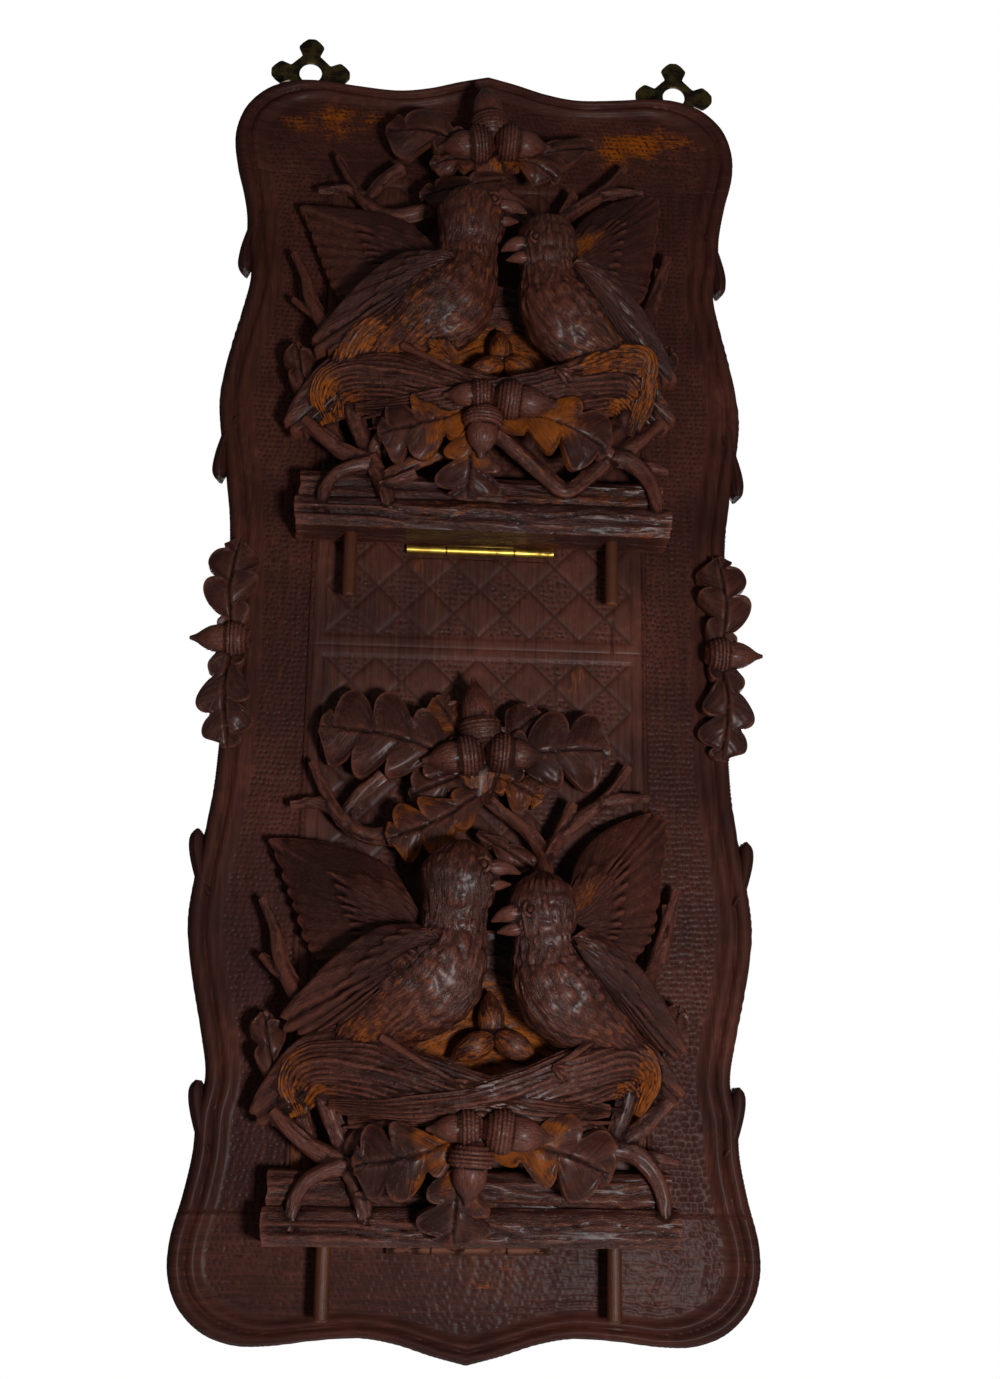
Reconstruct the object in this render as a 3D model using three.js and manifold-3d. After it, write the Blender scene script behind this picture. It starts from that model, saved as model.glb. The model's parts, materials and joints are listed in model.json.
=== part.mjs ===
// A carved walnut wall rack for letters and newspapers. A moulded backboard carries two pierced
// carved fronts. Each front tips forward on a brass hinge until the pegs under its log meet the board.
// Millimetres, +Z up, front towards -Y, origin on the wall face at mid height.
import * as THREE from 'three';
import { mergeVertices } from 'three/addons/utils/BufferGeometryUtils.js';
import Module from 'manifold-3d';

const wasm = await Module();
wasm.setup();

// Backboard sizes
const RIM_DEPTH = 20;
const LEDGE_DEPTH = 18;
const GROUND_DEPTH = 16;
const RIM_WIDTH = 8;
const MOULDING_WIDTH = 18;
const RAIL_JOINT = 313;
const PANEL_HALF = 97;
const PANEL_SEAM = 4;
const BEAD_WIDTH = 3;
const BEAD_DEPTH = 17.2;
const HALF_GAP = 0.15;
const OUTLINE_SAMPLES = 52;

// One quarter of the board's waved edge, from the waist to the peak, as [half width, height]
const EDGE = [
  [147, 0], [149, 70], [153, 105], [158, 135], [160, 160], [156, 188], [149, 220], [145.5, 242],
  [149, 262], [150, 283], [154, 305], [159, 325], [160, 342], [156, 357], [148, 368], [137, 376],
  [122, 380.5], [104, 380.5], [82, 378], [58, 376.5], [38, 379.5], [18, 385.5], [0, 390],
];

// Scroll tips on the edge: the height of each tip, and how far out its root lies
const SCROLLS = [[106, 152.5], [244, 144.5]];
const SCROLL_LENGTH = 36;
const SCROLL_REACH = 9.5;
const SCROLL_NOTCH = 6;
const SCROLL_SET_IN = 6;
const CURVE_STEPS = 2;

// Lattice panels
const BORDER_WIDTH = 6.5;
const BORDER_DEPTH = 17.2;
const LATTICE_PITCH = 30;
const LATTICE_COLUMNS = 2;
const DIAMOND_FOOT = 14;
const DIAMOND_DEPTH = 17.4;
const DIAMOND_SUNK = 0.2;
const UPPER_ROWS = { first: 26, step: LATTICE_PITCH, count: 9 };
const LOWER_ROWS = { first: -17, step: -LATTICE_PITCH, count: 10 };

// Fronts: heights of the log's underside, and the plane of the log's back
const UPPER_FRONT = 67;
const LOWER_FRONT = -328;
const FRONT_BACK = 19;
const LOG_HEIGHT = 38;
const LOG_LEFT = -109;
const LOG_RIGHT = 110;
const OPENWORK_BACK = 6;

// Pegs under the logs
const PEG_RADIUS = 4;
const PEG_SPREAD = 77;
const PEG_FORWARD = 13;
const PEG_DROP = 38;
const SOCKET_DEPTH = 10;
const FIT_GAP = 0.3;
const PEG_SIDES = 8;

// Hinges
const HINGE_LENGTH = 88;
const KNUCKLE_LENGTH = 40;
const KNUCKLE_RADIUS = 2.7;
const KNUCKLE_GAP = 0.6;
const BORE_RADIUS = 1.5;
const PIN_RADIUS = 1.2;
const PLATE_HEIGHT = 14;
const PLATE_THICKNESS = 1;
const AXIS_DROP = 3.2;
const FIXED_LEAF_BACK = 2.7;
const FRONT_LEAF_BACK = 1.3;
const NOTCH_HEIGHT = 3.4;
const KNUCKLE_SIDES = 8;
const PIN_SIDES = 6;

// Hanging plates: where the middle of each hole lies, as [right, up]
const HANGERS = { left: [-115.5, 396], right: [124.5, 393.5] };
const HANGER_THICKNESS = 1.5;
const HANGER_HOLE = 7.3;
const HOLE_STEPS = 5;
const HANGER_LOBE = [[13, 5.6], [19.5, 8.4], [23, 5.6], [25.6, 2.4]];
const RECESS_DEPTH = 1.8;
const RECESS_MARGIN = 1;

// Oak sprigs on the rim, about a point on each side, as [outwards, up, forward]
const SPRIG_BACK = 20.3;
const SPRIG_CENTRE = 138;
const SPRIG_LEAF_HALF = 17;
const SPRIG_LEAVES = [[[4, -4, 3], [2, 62, 2]], [[4, 6, 3], [2, -60, 2]]];
const SPRIG_ACORN = { cup: [-2, 2, 7], tip: [29, 2, 8], radius: 8 };

// Oak leaves: the part of a sine wave that gives the swell, the depth of the cuts between lobes,
// the half width of the stem, and how thin the two ends are
const LEAF_WAVE = { from: 0.12, span: 0.76 };
const LEAF_FULLNESS = 1.15;
const LEAF_SINUS = 0.58;
const LEAF_STEM = 2;
const LEAF_END = 0.6;
const LEAF_THICKNESS = 5;

// Acorns: shares of the radius from the cup to the point
const ACORN_SHARES = [0.95, 1.05, 0.16];

// Feathers: where the notch behind each tip lies and how deep it is cut, and the sheets' thickness
const FEATHER_NOTCH_AT = 0.62;
const FEATHER_NOTCH_CUT = 0.16;
const WING_THICKNESS = 8;
const RAISED_WING_THICKNESS = 7;
const BEAK_HALVES = [6, 4.5, 1.2];

// Blocks that trim other solids reach past the whole rack
const PAST = 500;
const MARGIN = 1;

// Finishes
const finish = (color, roughness, metalness = 0) => ({ color, roughness, metalness, flatShading: true });
const WALNUT = finish(0x3b211a, 0.5);
const CARVED_WALNUT = finish(0x3a2019, 0.42);
const PANEL_WALNUT = finish(0x5c3424, 0.55);
const PEG_WOOD = finish(0x6b3a22, 0.45);
const BRASS = finish(0xc9a227, 0.35, 1);
const DARK_BRASS = finish(0x4a4127, 0.5, 1);

const FORWARD = new THREE.Vector3(0, -1, 0);

// A closed solid from a three.js geometry
function solid(geometry) {
  const bare = geometry.clone();
  bare.deleteAttribute('normal');
  bare.deleteAttribute('uv');
  const merged = mergeVertices(bare);
  const vertProperties = new Float32Array(merged.attributes.position.array);
  const triVerts = new Uint32Array(merged.index.array);
  return new wasm.Manifold(new wasm.Mesh({ numProp: 3, vertProperties, triVerts }));
}

// A geometry from a solid
function geometryOf(body) {
  const mesh = body.getMesh();
  const geometry = new THREE.BufferGeometry();
  geometry.setAttribute('position', new THREE.BufferAttribute(new Float32Array(mesh.vertProperties), 3));
  geometry.setIndex(new THREE.BufferAttribute(new Uint32Array(mesh.triVerts), 1));
  return geometry;
}

const join = (solids) => solids.reduce((whole, next) => whole.add(next));

// A named mesh with a material of its own
function piece(name, body, look, parent) {
  const mesh = new THREE.Mesh(geometryOf(body), new THREE.MeshStandardMaterial(look));
  mesh.name = name;
  parent.add(mesh);
}

// A box between two corners
function block(x0, x1, y0, y1, z0, z1) {
  const geometry = new THREE.BoxGeometry(x1 - x0, y1 - y0, z1 - z0);
  return solid(geometry.translate((x0 + x1) / 2, (y0 + y1) / 2, (z0 + z1) / 2));
}

// An outline in the wall's plane, raised from the depth "from" to the depth "to" towards the front
function raised(outline, from, to, holes = []) {
  const shape = new THREE.Shape(outline);
  shape.holes.push(...holes);
  const geometry = new THREE.ExtrudeGeometry(shape, { depth: to - from, bevelEnabled: false });
  return solid(geometry.rotateX(Math.PI / 2).translate(0, -from, 0));
}

// A limb of carving: an oval section swept along a path of [right, up, forward] points. The half
// sizes across and forward are spread evenly along the path.
function limb(path, wide, { flat = 1, deep = wide.map((w) => w * flat), sides = 6, steps = 4 } = {}) {
  const curve = new THREE.CatmullRomCurve3(path.map(([x, z, d]) => new THREE.Vector3(x, -d, z)));
  const halves = new THREE.SplineCurve(wide.map((w, i) => new THREE.Vector2(w, deep[i])));
  const geometry = new THREE.CylinderGeometry(1, 1, 1, sides, steps);
  const position = geometry.attributes.position;
  for (let i = 0; i < position.count; i += 1) {
    const along = position.getY(i) + 0.5;
    const tangent = curve.getTangent(along);
    const forward = FORWARD.clone().addScaledVector(tangent, -FORWARD.dot(tangent)).normalize();
    const across = tangent.clone().cross(forward);
    const half = halves.getPoint(along);
    const point = curve.getPoint(along);
    point.addScaledVector(across, position.getX(i) * half.x);
    point.addScaledVector(forward, position.getZ(i) * half.y);
    position.setXYZ(i, point.x, point.y, point.z);
  }
  return solid(geometry);
}

const middle = (a, b, lift) => [(a[0] + b[0]) / 2, (a[1] + b[1]) / 2, (a[2] + b[2]) / 2 + lift];

// A lobed oak leaf with a ridge for its midrib
function oakLeaf(stem, tip, half, { lobes = 3, lift = 5 } = {}) {
  const rings = 2 * lobes + 1;
  const wide = [LEAF_STEM];
  const deep = [LEAF_END * LEAF_THICKNESS];
  for (let ring = 1; ring <= rings; ring += 1) {
    const swell = Math.sin(Math.PI * (LEAF_WAVE.from + (LEAF_WAVE.span * ring) / rings));
    const lobe = ring % 2 === 1 ? 1 : LEAF_SINUS;
    wide.push(LEAF_FULLNESS * half * swell * lobe);
    deep.push(LEAF_THICKNESS * (ring === rings ? LEAF_END : 1));
  }
  return limb([stem, middle(stem, tip, lift), tip], wide, { deep, sides: 3, steps: rings });
}

// An acorn: a wide cup, then the nut down to its point
function acorn(cup, tip, radius) {
  const wide = ACORN_SHARES.map((share) => share * radius);
  return limb([cup, middle(cup, tip, 0), tip], wide, { sides: 5, steps: wide.length - 1 });
}

// A sheet of feathers that spreads from its root: a plain leading edge, then a notch behind every tip.
// The sheet tilts back from its root to its tips.
function fan({ root, lead, tips, back }, thick) {
  const flat = ([x, z]) => new THREE.Vector2(x, z);
  const base = flat(root);
  const ends = tips.map(flat);
  const outline = [base, ...lead.map(flat)];
  ends.forEach((end, i) => {
    outline.push(end);
    if (i + 1 < ends.length) {
      outline.push(end.clone().lerp(ends[i + 1], FEATHER_NOTCH_AT).lerp(base, FEATHER_NOTCH_CUT));
    }
  });
  const shape = new THREE.Shape(outline);
  const geometry = new THREE.ExtrudeGeometry(shape, { depth: thick, bevelEnabled: false });
  geometry.rotateX(Math.PI / 2);
  const span = base.distanceTo(ends[0]);
  const position = geometry.attributes.position;
  for (let i = 0; i < position.count; i += 1) {
    const away = base.distanceTo(new THREE.Vector2(position.getX(i), position.getZ(i))) / span;
    position.setY(i, position.getY(i) - THREE.MathUtils.lerp(root[2], back, away));
  }
  return solid(geometry);
}

// A bird: body and head on one spine, an open beak, a folded wing, a raised wing and a tail
function bird(form) {
  return [
    limb(form.spine, form.girth, { deep: form.depth, sides: 6, steps: form.spine.length - 1 }),
    ...form.beak.map((path) => limb(path, BEAK_HALVES, { sides: 4, steps: 1 })),
    limb(form.covert, form.covertWide, { flat: 0.55, sides: 4, steps: 2 }),
    fan(form.foldedWing, WING_THICKNESS),
    fan(form.tail, WING_THICKNESS),
    fan(form.raisedWing, RAISED_WING_THICKNESS),
  ];
}

const LEFT_BIRD = {
  spine: [
    [-74, 98, 24], [-48, 119, 35], [-24, 138, 41], [-14, 157, 43], [-12, 174, 44], [-11, 190, 46],
    [-10, 203, 45], [-10, 211, 44],
  ],
  girth: [6, 21, 27.5, 20, 18.5, 20.8, 17, 6],
  depth: [6, 16, 21.5, 18, 17, 19.5, 16, 6],
  beak: [
    [[-3, 194, 51], [6, 195, 54], [21.5, 192.5, 52.5]],
    [[-3, 186, 50], [5, 186, 53], [16.5, 186.8, 52]],
  ],
  covert: [[-20, 158, 48], [-47, 147, 50], [-76, 130, 40]],
  covertWide: [8, 16, 9],
  foldedWing: {
    root: [-20, 160, 48],
    lead: [[-52, 162], [-78, 146]],
    tips: [[-106, 115], [-96, 108], [-86, 105], [-70, 110]],
    back: 26,
  },
  tail: {
    root: [-56, 116, 28],
    lead: [[-99, 101]],
    tips: [[-119, 68], [-112, 60], [-99, 62], [-84, 80]],
    back: 15,
  },
  raisedWing: {
    root: [-26, 162, 32],
    lead: [[-36, 180], [-47, 197], [-65, 207.5], [-88, 214]],
    tips: [[-115.5, 214.5], [-107, 191], [-100, 174], [-93, 156], [-82, 144]],
    back: 12,
  },
};

const RIGHT_BIRD = {
  spine: [
    [92, 98, 22], [68, 114, 33], [47, 129, 40], [38, 147, 42], [36, 162, 44], [34, 176, 46],
    [34, 189, 45], [34, 196, 44],
  ],
  girth: [5, 17, 24.5, 20.5, 17.5, 18.7, 15, 6],
  depth: [5, 15, 20.5, 18, 16.5, 17.5, 14, 6],
  beak: [
    [[25, 171.5, 51], [17, 171, 54], [6.3, 166.6, 52.5]],
    [[26, 164.5, 50], [19, 163, 53], [9.4, 161, 52]],
  ],
  covert: [[50, 158, 47], [70, 142, 49], [90, 122, 38]],
  covertWide: [7, 13, 8],
  foldedWing: {
    root: [50, 160, 46],
    lead: [[76, 155], [98, 133]],
    tips: [[116, 102], [107, 98], [97, 101], [84, 108]],
    back: 25,
  },
  tail: {
    root: [64, 114, 28],
    lead: [[102, 99]],
    tips: [[116, 80], [109, 70], [97, 69], [84, 80]],
    back: 14,
  },
  raisedWing: {
    root: [44, 162, 32],
    lead: [[52, 186], [54, 199], [61, 213], [74, 224.5]],
    tips: [[97, 234.5], [110, 229], [106, 200], [102, 174], [93, 150]],
    back: 12,
  },
};

// The nest: two bundles of straw that cross in front, the wall behind the eggs, and the eggs
const BUNDLES = [
  [[-94, 70, 21], [-86, 92, 28], [-45, 91, 40], [5, 78, 46], [70, 70, 32]],
  [[90, 72, 21], [83, 96, 29], [45, 88, 41], [2, 76, 47], [-74, 72, 30]],
];
const BUNDLE_HALVES = [7, 12, 13, 11, 4];
const NEST_WALL = [[8, 74, 24], [8, 120, 12], [8, 160, 10]];
const NEST_WALL_HALVES = [40, 46, 16];
const NEST_WALL_DEPTHS = [16, 8, 4];
const EGGS = [
  [[9, 102, 18], [9, 117, 21], [8, 133, 18]],
  [[-13, 96, 24], [1, 103, 27], [13, 109, 22]],
  [[34, 96, 24], [20, 104, 27], [8, 110, 22]],
];
const EGG_HALVES = [1.6, 7.2, 1.2];

function nest() {
  return [
    ...BUNDLES.map((path) => limb(path, BUNDLE_HALVES, { flat: 0.8, sides: 5, steps: 4 })),
    limb(NEST_WALL, NEST_WALL_HALVES, { deep: NEST_WALL_DEPTHS, sides: 4, steps: 2 }),
    ...EGGS.map((path) => limb(path, EGG_HALVES, { sides: 5, steps: 2 })),
  ];
}

// Oak leaves at the ends of the nest, alike on both fronts
const NEST_LEAVES = [
  { stem: [-105, 78, 18], tip: [-114, 119, 13], half: 10, lobes: 1 },
  { stem: [103, 98, 24], tip: [113, 126, 14], half: 8, lobes: 1 },
];

// The spray at the foot of the nest: leaves and acorns round a short stalk
const FOOT_SPRAY = {
  stalk: [[0, 46, 47], [0, 66, 46]],
  leaves: [
    { stem: [-3, 56, 47], tip: [-10, 3, 38], half: 22 },
    { stem: [-4, 57, 46], tip: [-62, 41, 38], half: 19 },
    { stem: [5, 54, 46], tip: [72, 38, 37], half: 20 },
  ],
  acorns: [
    { cup: [2, 61, 56], tip: [-26, 60, 56], radius: 8 },
    { cup: [5, 60, 55], tip: [40, 56, 56], radius: 10 },
    { cup: [-2, 53, 55], tip: [-4, 22, 55], radius: 10 },
  ],
  twigs: [],
};

// The spray above the birds: acorns round a short stalk, and forked twigs, each a path and the half
// widths along it
const CROWN_SPRAY = {
  stalk: [[0, 242, 16], [0, 266, 20]],
  leaves: [],
  acorns: [
    { cup: [1.6, 268, 24], tip: [-4, 308, 23], radius: 10.5 },
    { cup: [1, 263, 27], tip: [-32, 258, 27], radius: 10 },
    { cup: [5, 264, 27], tip: [38, 262, 27], radius: 10 },
  ],
  twigs: [
    [[[-36, 222, 15], [-64, 218, 14], [-84, 238, 12], [-94, 259, 10]], [5, 4.6, 3.6, 2.2]],
    [[[-76, 229, 13], [-105, 234, 10]], [3.8, 2.2]],
    [[[36, 180, 38], [38, 210, 19], [10, 235, 14], [0, 248, 14]], [5.5, 4.4, 3.8, 5]],
    [[[38.5, 207, 21], [58, 229, 14], [87, 261, 10]], [4.6, 4, 2.2]],
    [[[70, 239, 13], [98, 243.5, 10]], [3.6, 2.2]],
  ],
};

// What differs between the two fronts: on the upper one the foot spray sits higher and shows two more
// roots, and the crown spray sits lower with narrower leaves
const LOWER_SCENE = {
  footRise: 0,
  crownRise: 0,
  crownLeaves: [
    { stem: [-2, 256, 16], tip: [-90, 279, 13], half: 25 },
    { stem: [5, 257, 16], tip: [75, 270, 13], half: 23 },
    { stem: [3, 243, 18], tip: [-50, 214, 20], half: 17 },
  ],
  innerRoots: [],
};
const UPPER_SCENE = {
  footRise: 11.5,
  crownRise: -8,
  crownLeaves: [
    { stem: [-2, 250, 16], tip: [-64, 267, 13], half: 21, lobes: 2 },
    { stem: [5, 250, 16], tip: [68, 265, 13], half: 10, lobes: 2 },
    { stem: [8, 235, 18], tip: [-42, 219, 18], half: 12, lobes: 2 },
  ],
  innerRoots: [
    [[[-20, 50, 30], [-60, 29, 25]], [5.5, 5]],
    [[[22, 47, 30], [48, 28, 25], [75, 51, 24]], [5, 5, 5]],
  ],
};
const STALK_HALVES = [9, 8.5];

// Twigs that rise beside the raised wings, on both fronts
const WING_TWIGS = [
  [[[-86, 116, 30], [-107, 150, 15], [-118, 181, 12]], [5, 4, 2.2]],
  [[[84, 122, 32], [105, 162, 15], [114, 191, 12]], [5, 4, 2.2]],
];

// Roots and stems between the log and the nest
const ROOTS = [
  [[[-95, 8, 26], [-88, 31, 26], [-67, 42, 24], [-57, 10, 25]], [3.6, 4.4, 6, 4.6]],
  [[[-67, 42, 23], [-106, 68, 20]], [5.5, 4]],
  [[[-66, 42, 22], [-82, 88, 24]], [5.5, 7]],
  [[[103, 9, 25], [95, 40, 24], [75, 51, 24], [50, 67, 33]], [3.8, 4.8, 6, 7.5]],
  [[[75, 51, 23], [87, 98, 24]], [5.5, 6.5]],
  [[[76, 52, 23], [106, 75, 20]], [5, 4]],
];

// The log: two steps of bark, each with ridges along its length, as [forward, up] profiles
const LOG_STEPS = [
  {
    left: LOG_LEFT,
    right: LOG_RIGHT,
    profile: [[0, 0], [28, 0], [30.5, 5], [28.5, 8], [30, 13], [26, 19.5], [0, 19.5]],
  },
  {
    left: LOG_LEFT + 1.5,
    right: LOG_RIGHT - 3,
    profile: [[0, 19], [21, 19], [23.5, 24], [21, 28], [22, 33], [16, 38], [0, LOG_HEIGHT]],
  },
];

function log() {
  return LOG_STEPS.map(({ left, right, profile }) => {
    const shape = new THREE.Shape(profile.map(([d, z]) => new THREE.Vector2(-d, z)));
    const geometry = new THREE.ExtrudeGeometry(shape, { depth: right - left, bevelEnabled: false });
    const turn = new THREE.Matrix4().makeBasis(
      new THREE.Vector3(0, 1, 0),
      new THREE.Vector3(0, 0, 1),
      new THREE.Vector3(1, 0, 0),
    );
    return solid(geometry.applyMatrix4(turn).translate(left, 0, 0));
  });
}

const leafOf = ({ stem, tip, half, lobes }) => oakLeaf(stem, tip, half, { lobes });
const twigOf = ([path, wide]) => limb(path, wide, { sides: 3, steps: path.length - 1 });

// A spray of leaves, acorns and twigs, set higher or lower by a rise
function spray({ stalk, leaves, acorns, twigs }, rise) {
  const lift = ([x, z, d]) => [x, z + rise, d];
  return [
    limb(stalk.map(lift), STALK_HALVES, { sides: 4, steps: 1 }),
    ...leaves.map((leaf) => leafOf({ ...leaf, stem: lift(leaf.stem), tip: lift(leaf.tip) })),
    ...acorns.map(({ cup, tip, radius }) => acorn(lift(cup), lift(tip), radius)),
    ...twigs.map(([path, wide]) => twigOf([path.map(lift), wide])),
  ];
}

// One carved front, cut from one board: flat at the back, with sockets for its pegs
function carving({ footRise, crownRise, crownLeaves, innerRoots }) {
  let body = join([
    ...log(),
    ...[...ROOTS, ...innerRoots].map(twigOf),
    ...nest(),
    ...bird(LEFT_BIRD),
    ...bird(RIGHT_BIRD),
    ...WING_TWIGS.map(twigOf),
    ...spray(FOOT_SPRAY, footRise),
    ...spray(CROWN_SPRAY, crownRise),
    ...[...NEST_LEAVES, ...crownLeaves].map(leafOf),
  ]);
  body = body.subtract(block(-PAST, PAST, 0, PAST, -PAST, PAST));
  body = body.subtract(block(-PAST, PAST, -OPENWORK_BACK, PAST, LOG_HEIGHT, PAST));
  const bore = PEG_RADIUS + FIT_GAP;
  for (const side of [-1, 1]) {
    const socket = new THREE.CylinderGeometry(bore, bore, 2 * SOCKET_DEPTH, PEG_SIDES);
    body = body.subtract(solid(socket.rotateX(Math.PI / 2).translate(side * PEG_SPREAD, -PEG_FORWARD, 0)));
  }
  return body;
}

// The board's edge, drawn in by an inset
function boardOutline(inset) {
  const quarter = EDGE.slice(1, -1);
  const loop = [
    EDGE[0],
    ...quarter,
    EDGE.at(-1),
    ...quarter.map(([x, z]) => [-x, z]).reverse(),
    [-EDGE[0][0], 0],
    ...quarter.map(([x, z]) => [-x, -z]),
    [0, -EDGE.at(-1)[1]],
    ...quarter.map(([x, z]) => [x, -z]).reverse(),
  ];
  const curve = new THREE.CatmullRomCurve3(loop.map(([x, z]) => new THREE.Vector3(x, z, 0)), true);
  const outline = [];
  for (let sample = 0; sample < OUTLINE_SAMPLES; sample += 1) {
    const point = curve.getPoint(sample / OUTLINE_SAMPLES);
    const tangent = curve.getTangent(sample / OUTLINE_SAMPLES);
    outline.push(new THREE.Vector2(point.x - inset * tangent.y, point.y + inset * tangent.x));
  }
  return outline;
}

// A curled tip on the board's edge, pointing towards the waist
function scroll(height, root, right, up) {
  const place = (x, z) => [right * (root + x), up * (height + z)];
  const shape = new THREE.Shape();
  shape.moveTo(...place(-SCROLL_SET_IN, SCROLL_LENGTH));
  shape.lineTo(...place(SCROLL_REACH / 2, SCROLL_LENGTH));
  shape.quadraticCurveTo(...place(SCROLL_REACH, SCROLL_LENGTH / 3), ...place(SCROLL_REACH, SCROLL_NOTCH));
  shape.quadraticCurveTo(...place(SCROLL_REACH, 0), ...place(SCROLL_REACH / 2, 0));
  shape.quadraticCurveTo(...place(0, 0), ...place(0, SCROLL_NOTCH));
  shape.lineTo(...place(-SCROLL_SET_IN, SCROLL_NOTCH));
  return raised(shape.getPoints(CURVE_STEPS), 0, RIM_DEPTH);
}

function backboard() {
  const rim = raised(boardOutline(0), 0, RIM_DEPTH);
  const ledge = raised(boardOutline(RIM_WIDTH), LEDGE_DEPTH, RIM_DEPTH + MARGIN);
  const ground = raised(boardOutline(MOULDING_WIDTH), GROUND_DEPTH, RIM_DEPTH + MARGIN);
  let board = rim.subtract(ledge).subtract(ground);
  for (const right of [-1, 1]) {
    for (const up of [-1, 1]) {
      board = join([board, ...SCROLLS.map(([height, root]) => scroll(height, root, right, up))]);
    }
  }
  return board;
}

function panel(low, high, rows, mortise) {
  const half = PANEL_HALF - HALF_GAP;
  const bottom = low + HALF_GAP;
  const top = high - HALF_GAP;
  const inner = half - BORDER_WIDTH;
  const foot = GROUND_DEPTH - DIAMOND_SUNK;
  let body = block(-half, half, -BORDER_DEPTH, 0, bottom, top);
  body = body.subtract(
    block(-inner, inner, -RIM_DEPTH, -GROUND_DEPTH, bottom + BORDER_WIDTH, top - BORDER_WIDTH),
  );
  for (let row = 0; row < rows.count; row += 1) {
    for (let column = -LATTICE_COLUMNS; column <= LATTICE_COLUMNS; column += 1) {
      const pillow = new THREE.ConeGeometry(DIAMOND_FOOT, DIAMOND_DEPTH - foot, 4);
      pillow.rotateX(Math.PI);
      pillow.translate(column * LATTICE_PITCH, -(DIAMOND_DEPTH + foot) / 2, rows.first + row * rows.step);
      body = body.add(solid(pillow));
    }
  }
  return body.subtract(mortise);
}

// A round bar along X on a hinge axis
function bar(radius, left, right, sides) {
  const geometry = new THREE.CylinderGeometry(radius, radius, right - left, sides);
  return solid(geometry.rotateZ(Math.PI / 2).translate((left + right) / 2, 0, 0));
}

// A hinge leaf about its own axis: a plate behind the axis, with knuckles over the spans it owns
function hingeLeaf(back, owned, others) {
  const half = HINGE_LENGTH / 2;
  let leaf = block(-half, half, back - PLATE_THICKNESS, back, 0, PLATE_HEIGHT);
  for (const [left, right] of others) {
    leaf = leaf.subtract(block(left, right, -PAST, PAST, -NOTCH_HEIGHT, NOTCH_HEIGHT));
  }
  for (const [left, right] of owned) {
    leaf = leaf.add(bar(KNUCKLE_RADIUS, left, right, KNUCKLE_SIDES));
    leaf = leaf.subtract(bar(BORE_RADIUS, left - MARGIN, right + MARGIN, PIN_SIDES));
  }
  return leaf;
}

function hanger() {
  const outline = [];
  for (let quarter = 0; quarter < 4; quarter += 1) {
    const turn = (quarter * Math.PI) / 2;
    const back = HANGER_LOBE.map(([along, across]) => [along, -across]);
    const front = [...HANGER_LOBE].reverse();
    for (const [along, across] of [...back, ...front]) {
      outline.push(new THREE.Vector2(along, across).rotateAround(new THREE.Vector2(), turn));
    }
  }
  const hole = new THREE.Path().absarc(0, 0, HANGER_HOLE, 0, 2 * Math.PI, true);
  return raised(outline, 0, HANGER_THICKNESS, [new THREE.Path(hole.getPoints(HOLE_STEPS))]);
}

// An applied sprig on one side of the rim: two oak leaves and an acorn pointing outwards
function oakSprig(side) {
  const at = ([x, z, d]) => [side * (SPRIG_CENTRE + x), z, SPRIG_BACK + d];
  const body = join([
    ...SPRIG_LEAVES.map(([stem, tip]) => oakLeaf(at(stem), at(tip), SPRIG_LEAF_HALF)),
    acorn(at(SPRIG_ACORN.cup), at(SPRIG_ACORN.tip), SPRIG_ACORN.radius),
  ]);
  return body.subtract(block(-PAST, PAST, -SPRIG_BACK, PAST, -PAST, PAST));
}

const rack = new THREE.Group();

// Backboard: rails, stiles and panels cut from one moulded outline
const board = backboard();
const railFrom = RAIL_JOINT + HALF_GAP;
const stileTo = RAIL_JOINT - HALF_GAP;
const stileFrom = PANEL_HALF + HALF_GAP;
let topRail = board.intersect(block(-PAST, PAST, -PAST, PAST, railFrom, PAST));
const reach = HANGER_LOBE.at(-1)[0] + RECESS_MARGIN;
for (const [right, up] of Object.values(HANGERS)) {
  topRail = topRail.subtract(block(right - reach, right + reach, -RECESS_DEPTH, PAST, up - reach, PAST));
}
piece('top_rail', topRail, WALNUT, rack);
piece('bottom_rail', board.intersect(block(-PAST, PAST, -PAST, PAST, -PAST, -railFrom)), WALNUT, rack);
for (const [name, side] of [['left_stile', -1], ['right_stile', 1]]) {
  const inner = side * stileFrom;
  const outer = side * PAST;
  const span = block(Math.min(inner, outer), Math.max(inner, outer), -PAST, PAST, -stileTo, stileTo);
  const bead = side * (stileFrom + BEAD_WIDTH);
  const ridge = block(Math.min(inner, bead), Math.max(inner, bead), -BEAD_DEPTH, -MARGIN, -stileTo, stileTo);
  piece(name, board.intersect(span).add(ridge), WALNUT, rack);
}
const hingeHalf = HINGE_LENGTH / 2;
const upperAxis = UPPER_FRONT - AXIS_DROP;
const mortise = block(
  -hingeHalf - MARGIN,
  hingeHalf + MARGIN,
  -PAST,
  -GROUND_DEPTH,
  upperAxis - KNUCKLE_RADIUS - MARGIN,
  upperAxis + PLATE_HEIGHT + MARGIN,
);
piece('upper_panel', panel(PANEL_SEAM, RAIL_JOINT, UPPER_ROWS, mortise), PANEL_WALNUT, rack);
piece('lower_panel', panel(-RAIL_JOINT, PANEL_SEAM, LOWER_ROWS, mortise), PANEL_WALNUT, rack);

for (const [name, side] of [['left', -1], ['right', 1]]) {
  piece(`${name}_oak_sprig`, oakSprig(side), CARVED_WALNUT, rack);
  const plate = new THREE.Group();
  const [right, up] = HANGERS[name];
  plate.position.set(right, 0, up);
  rack.add(plate);
  piece(`${name}_hanger`, hanger(), DARK_BRASS, plate);
}

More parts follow.
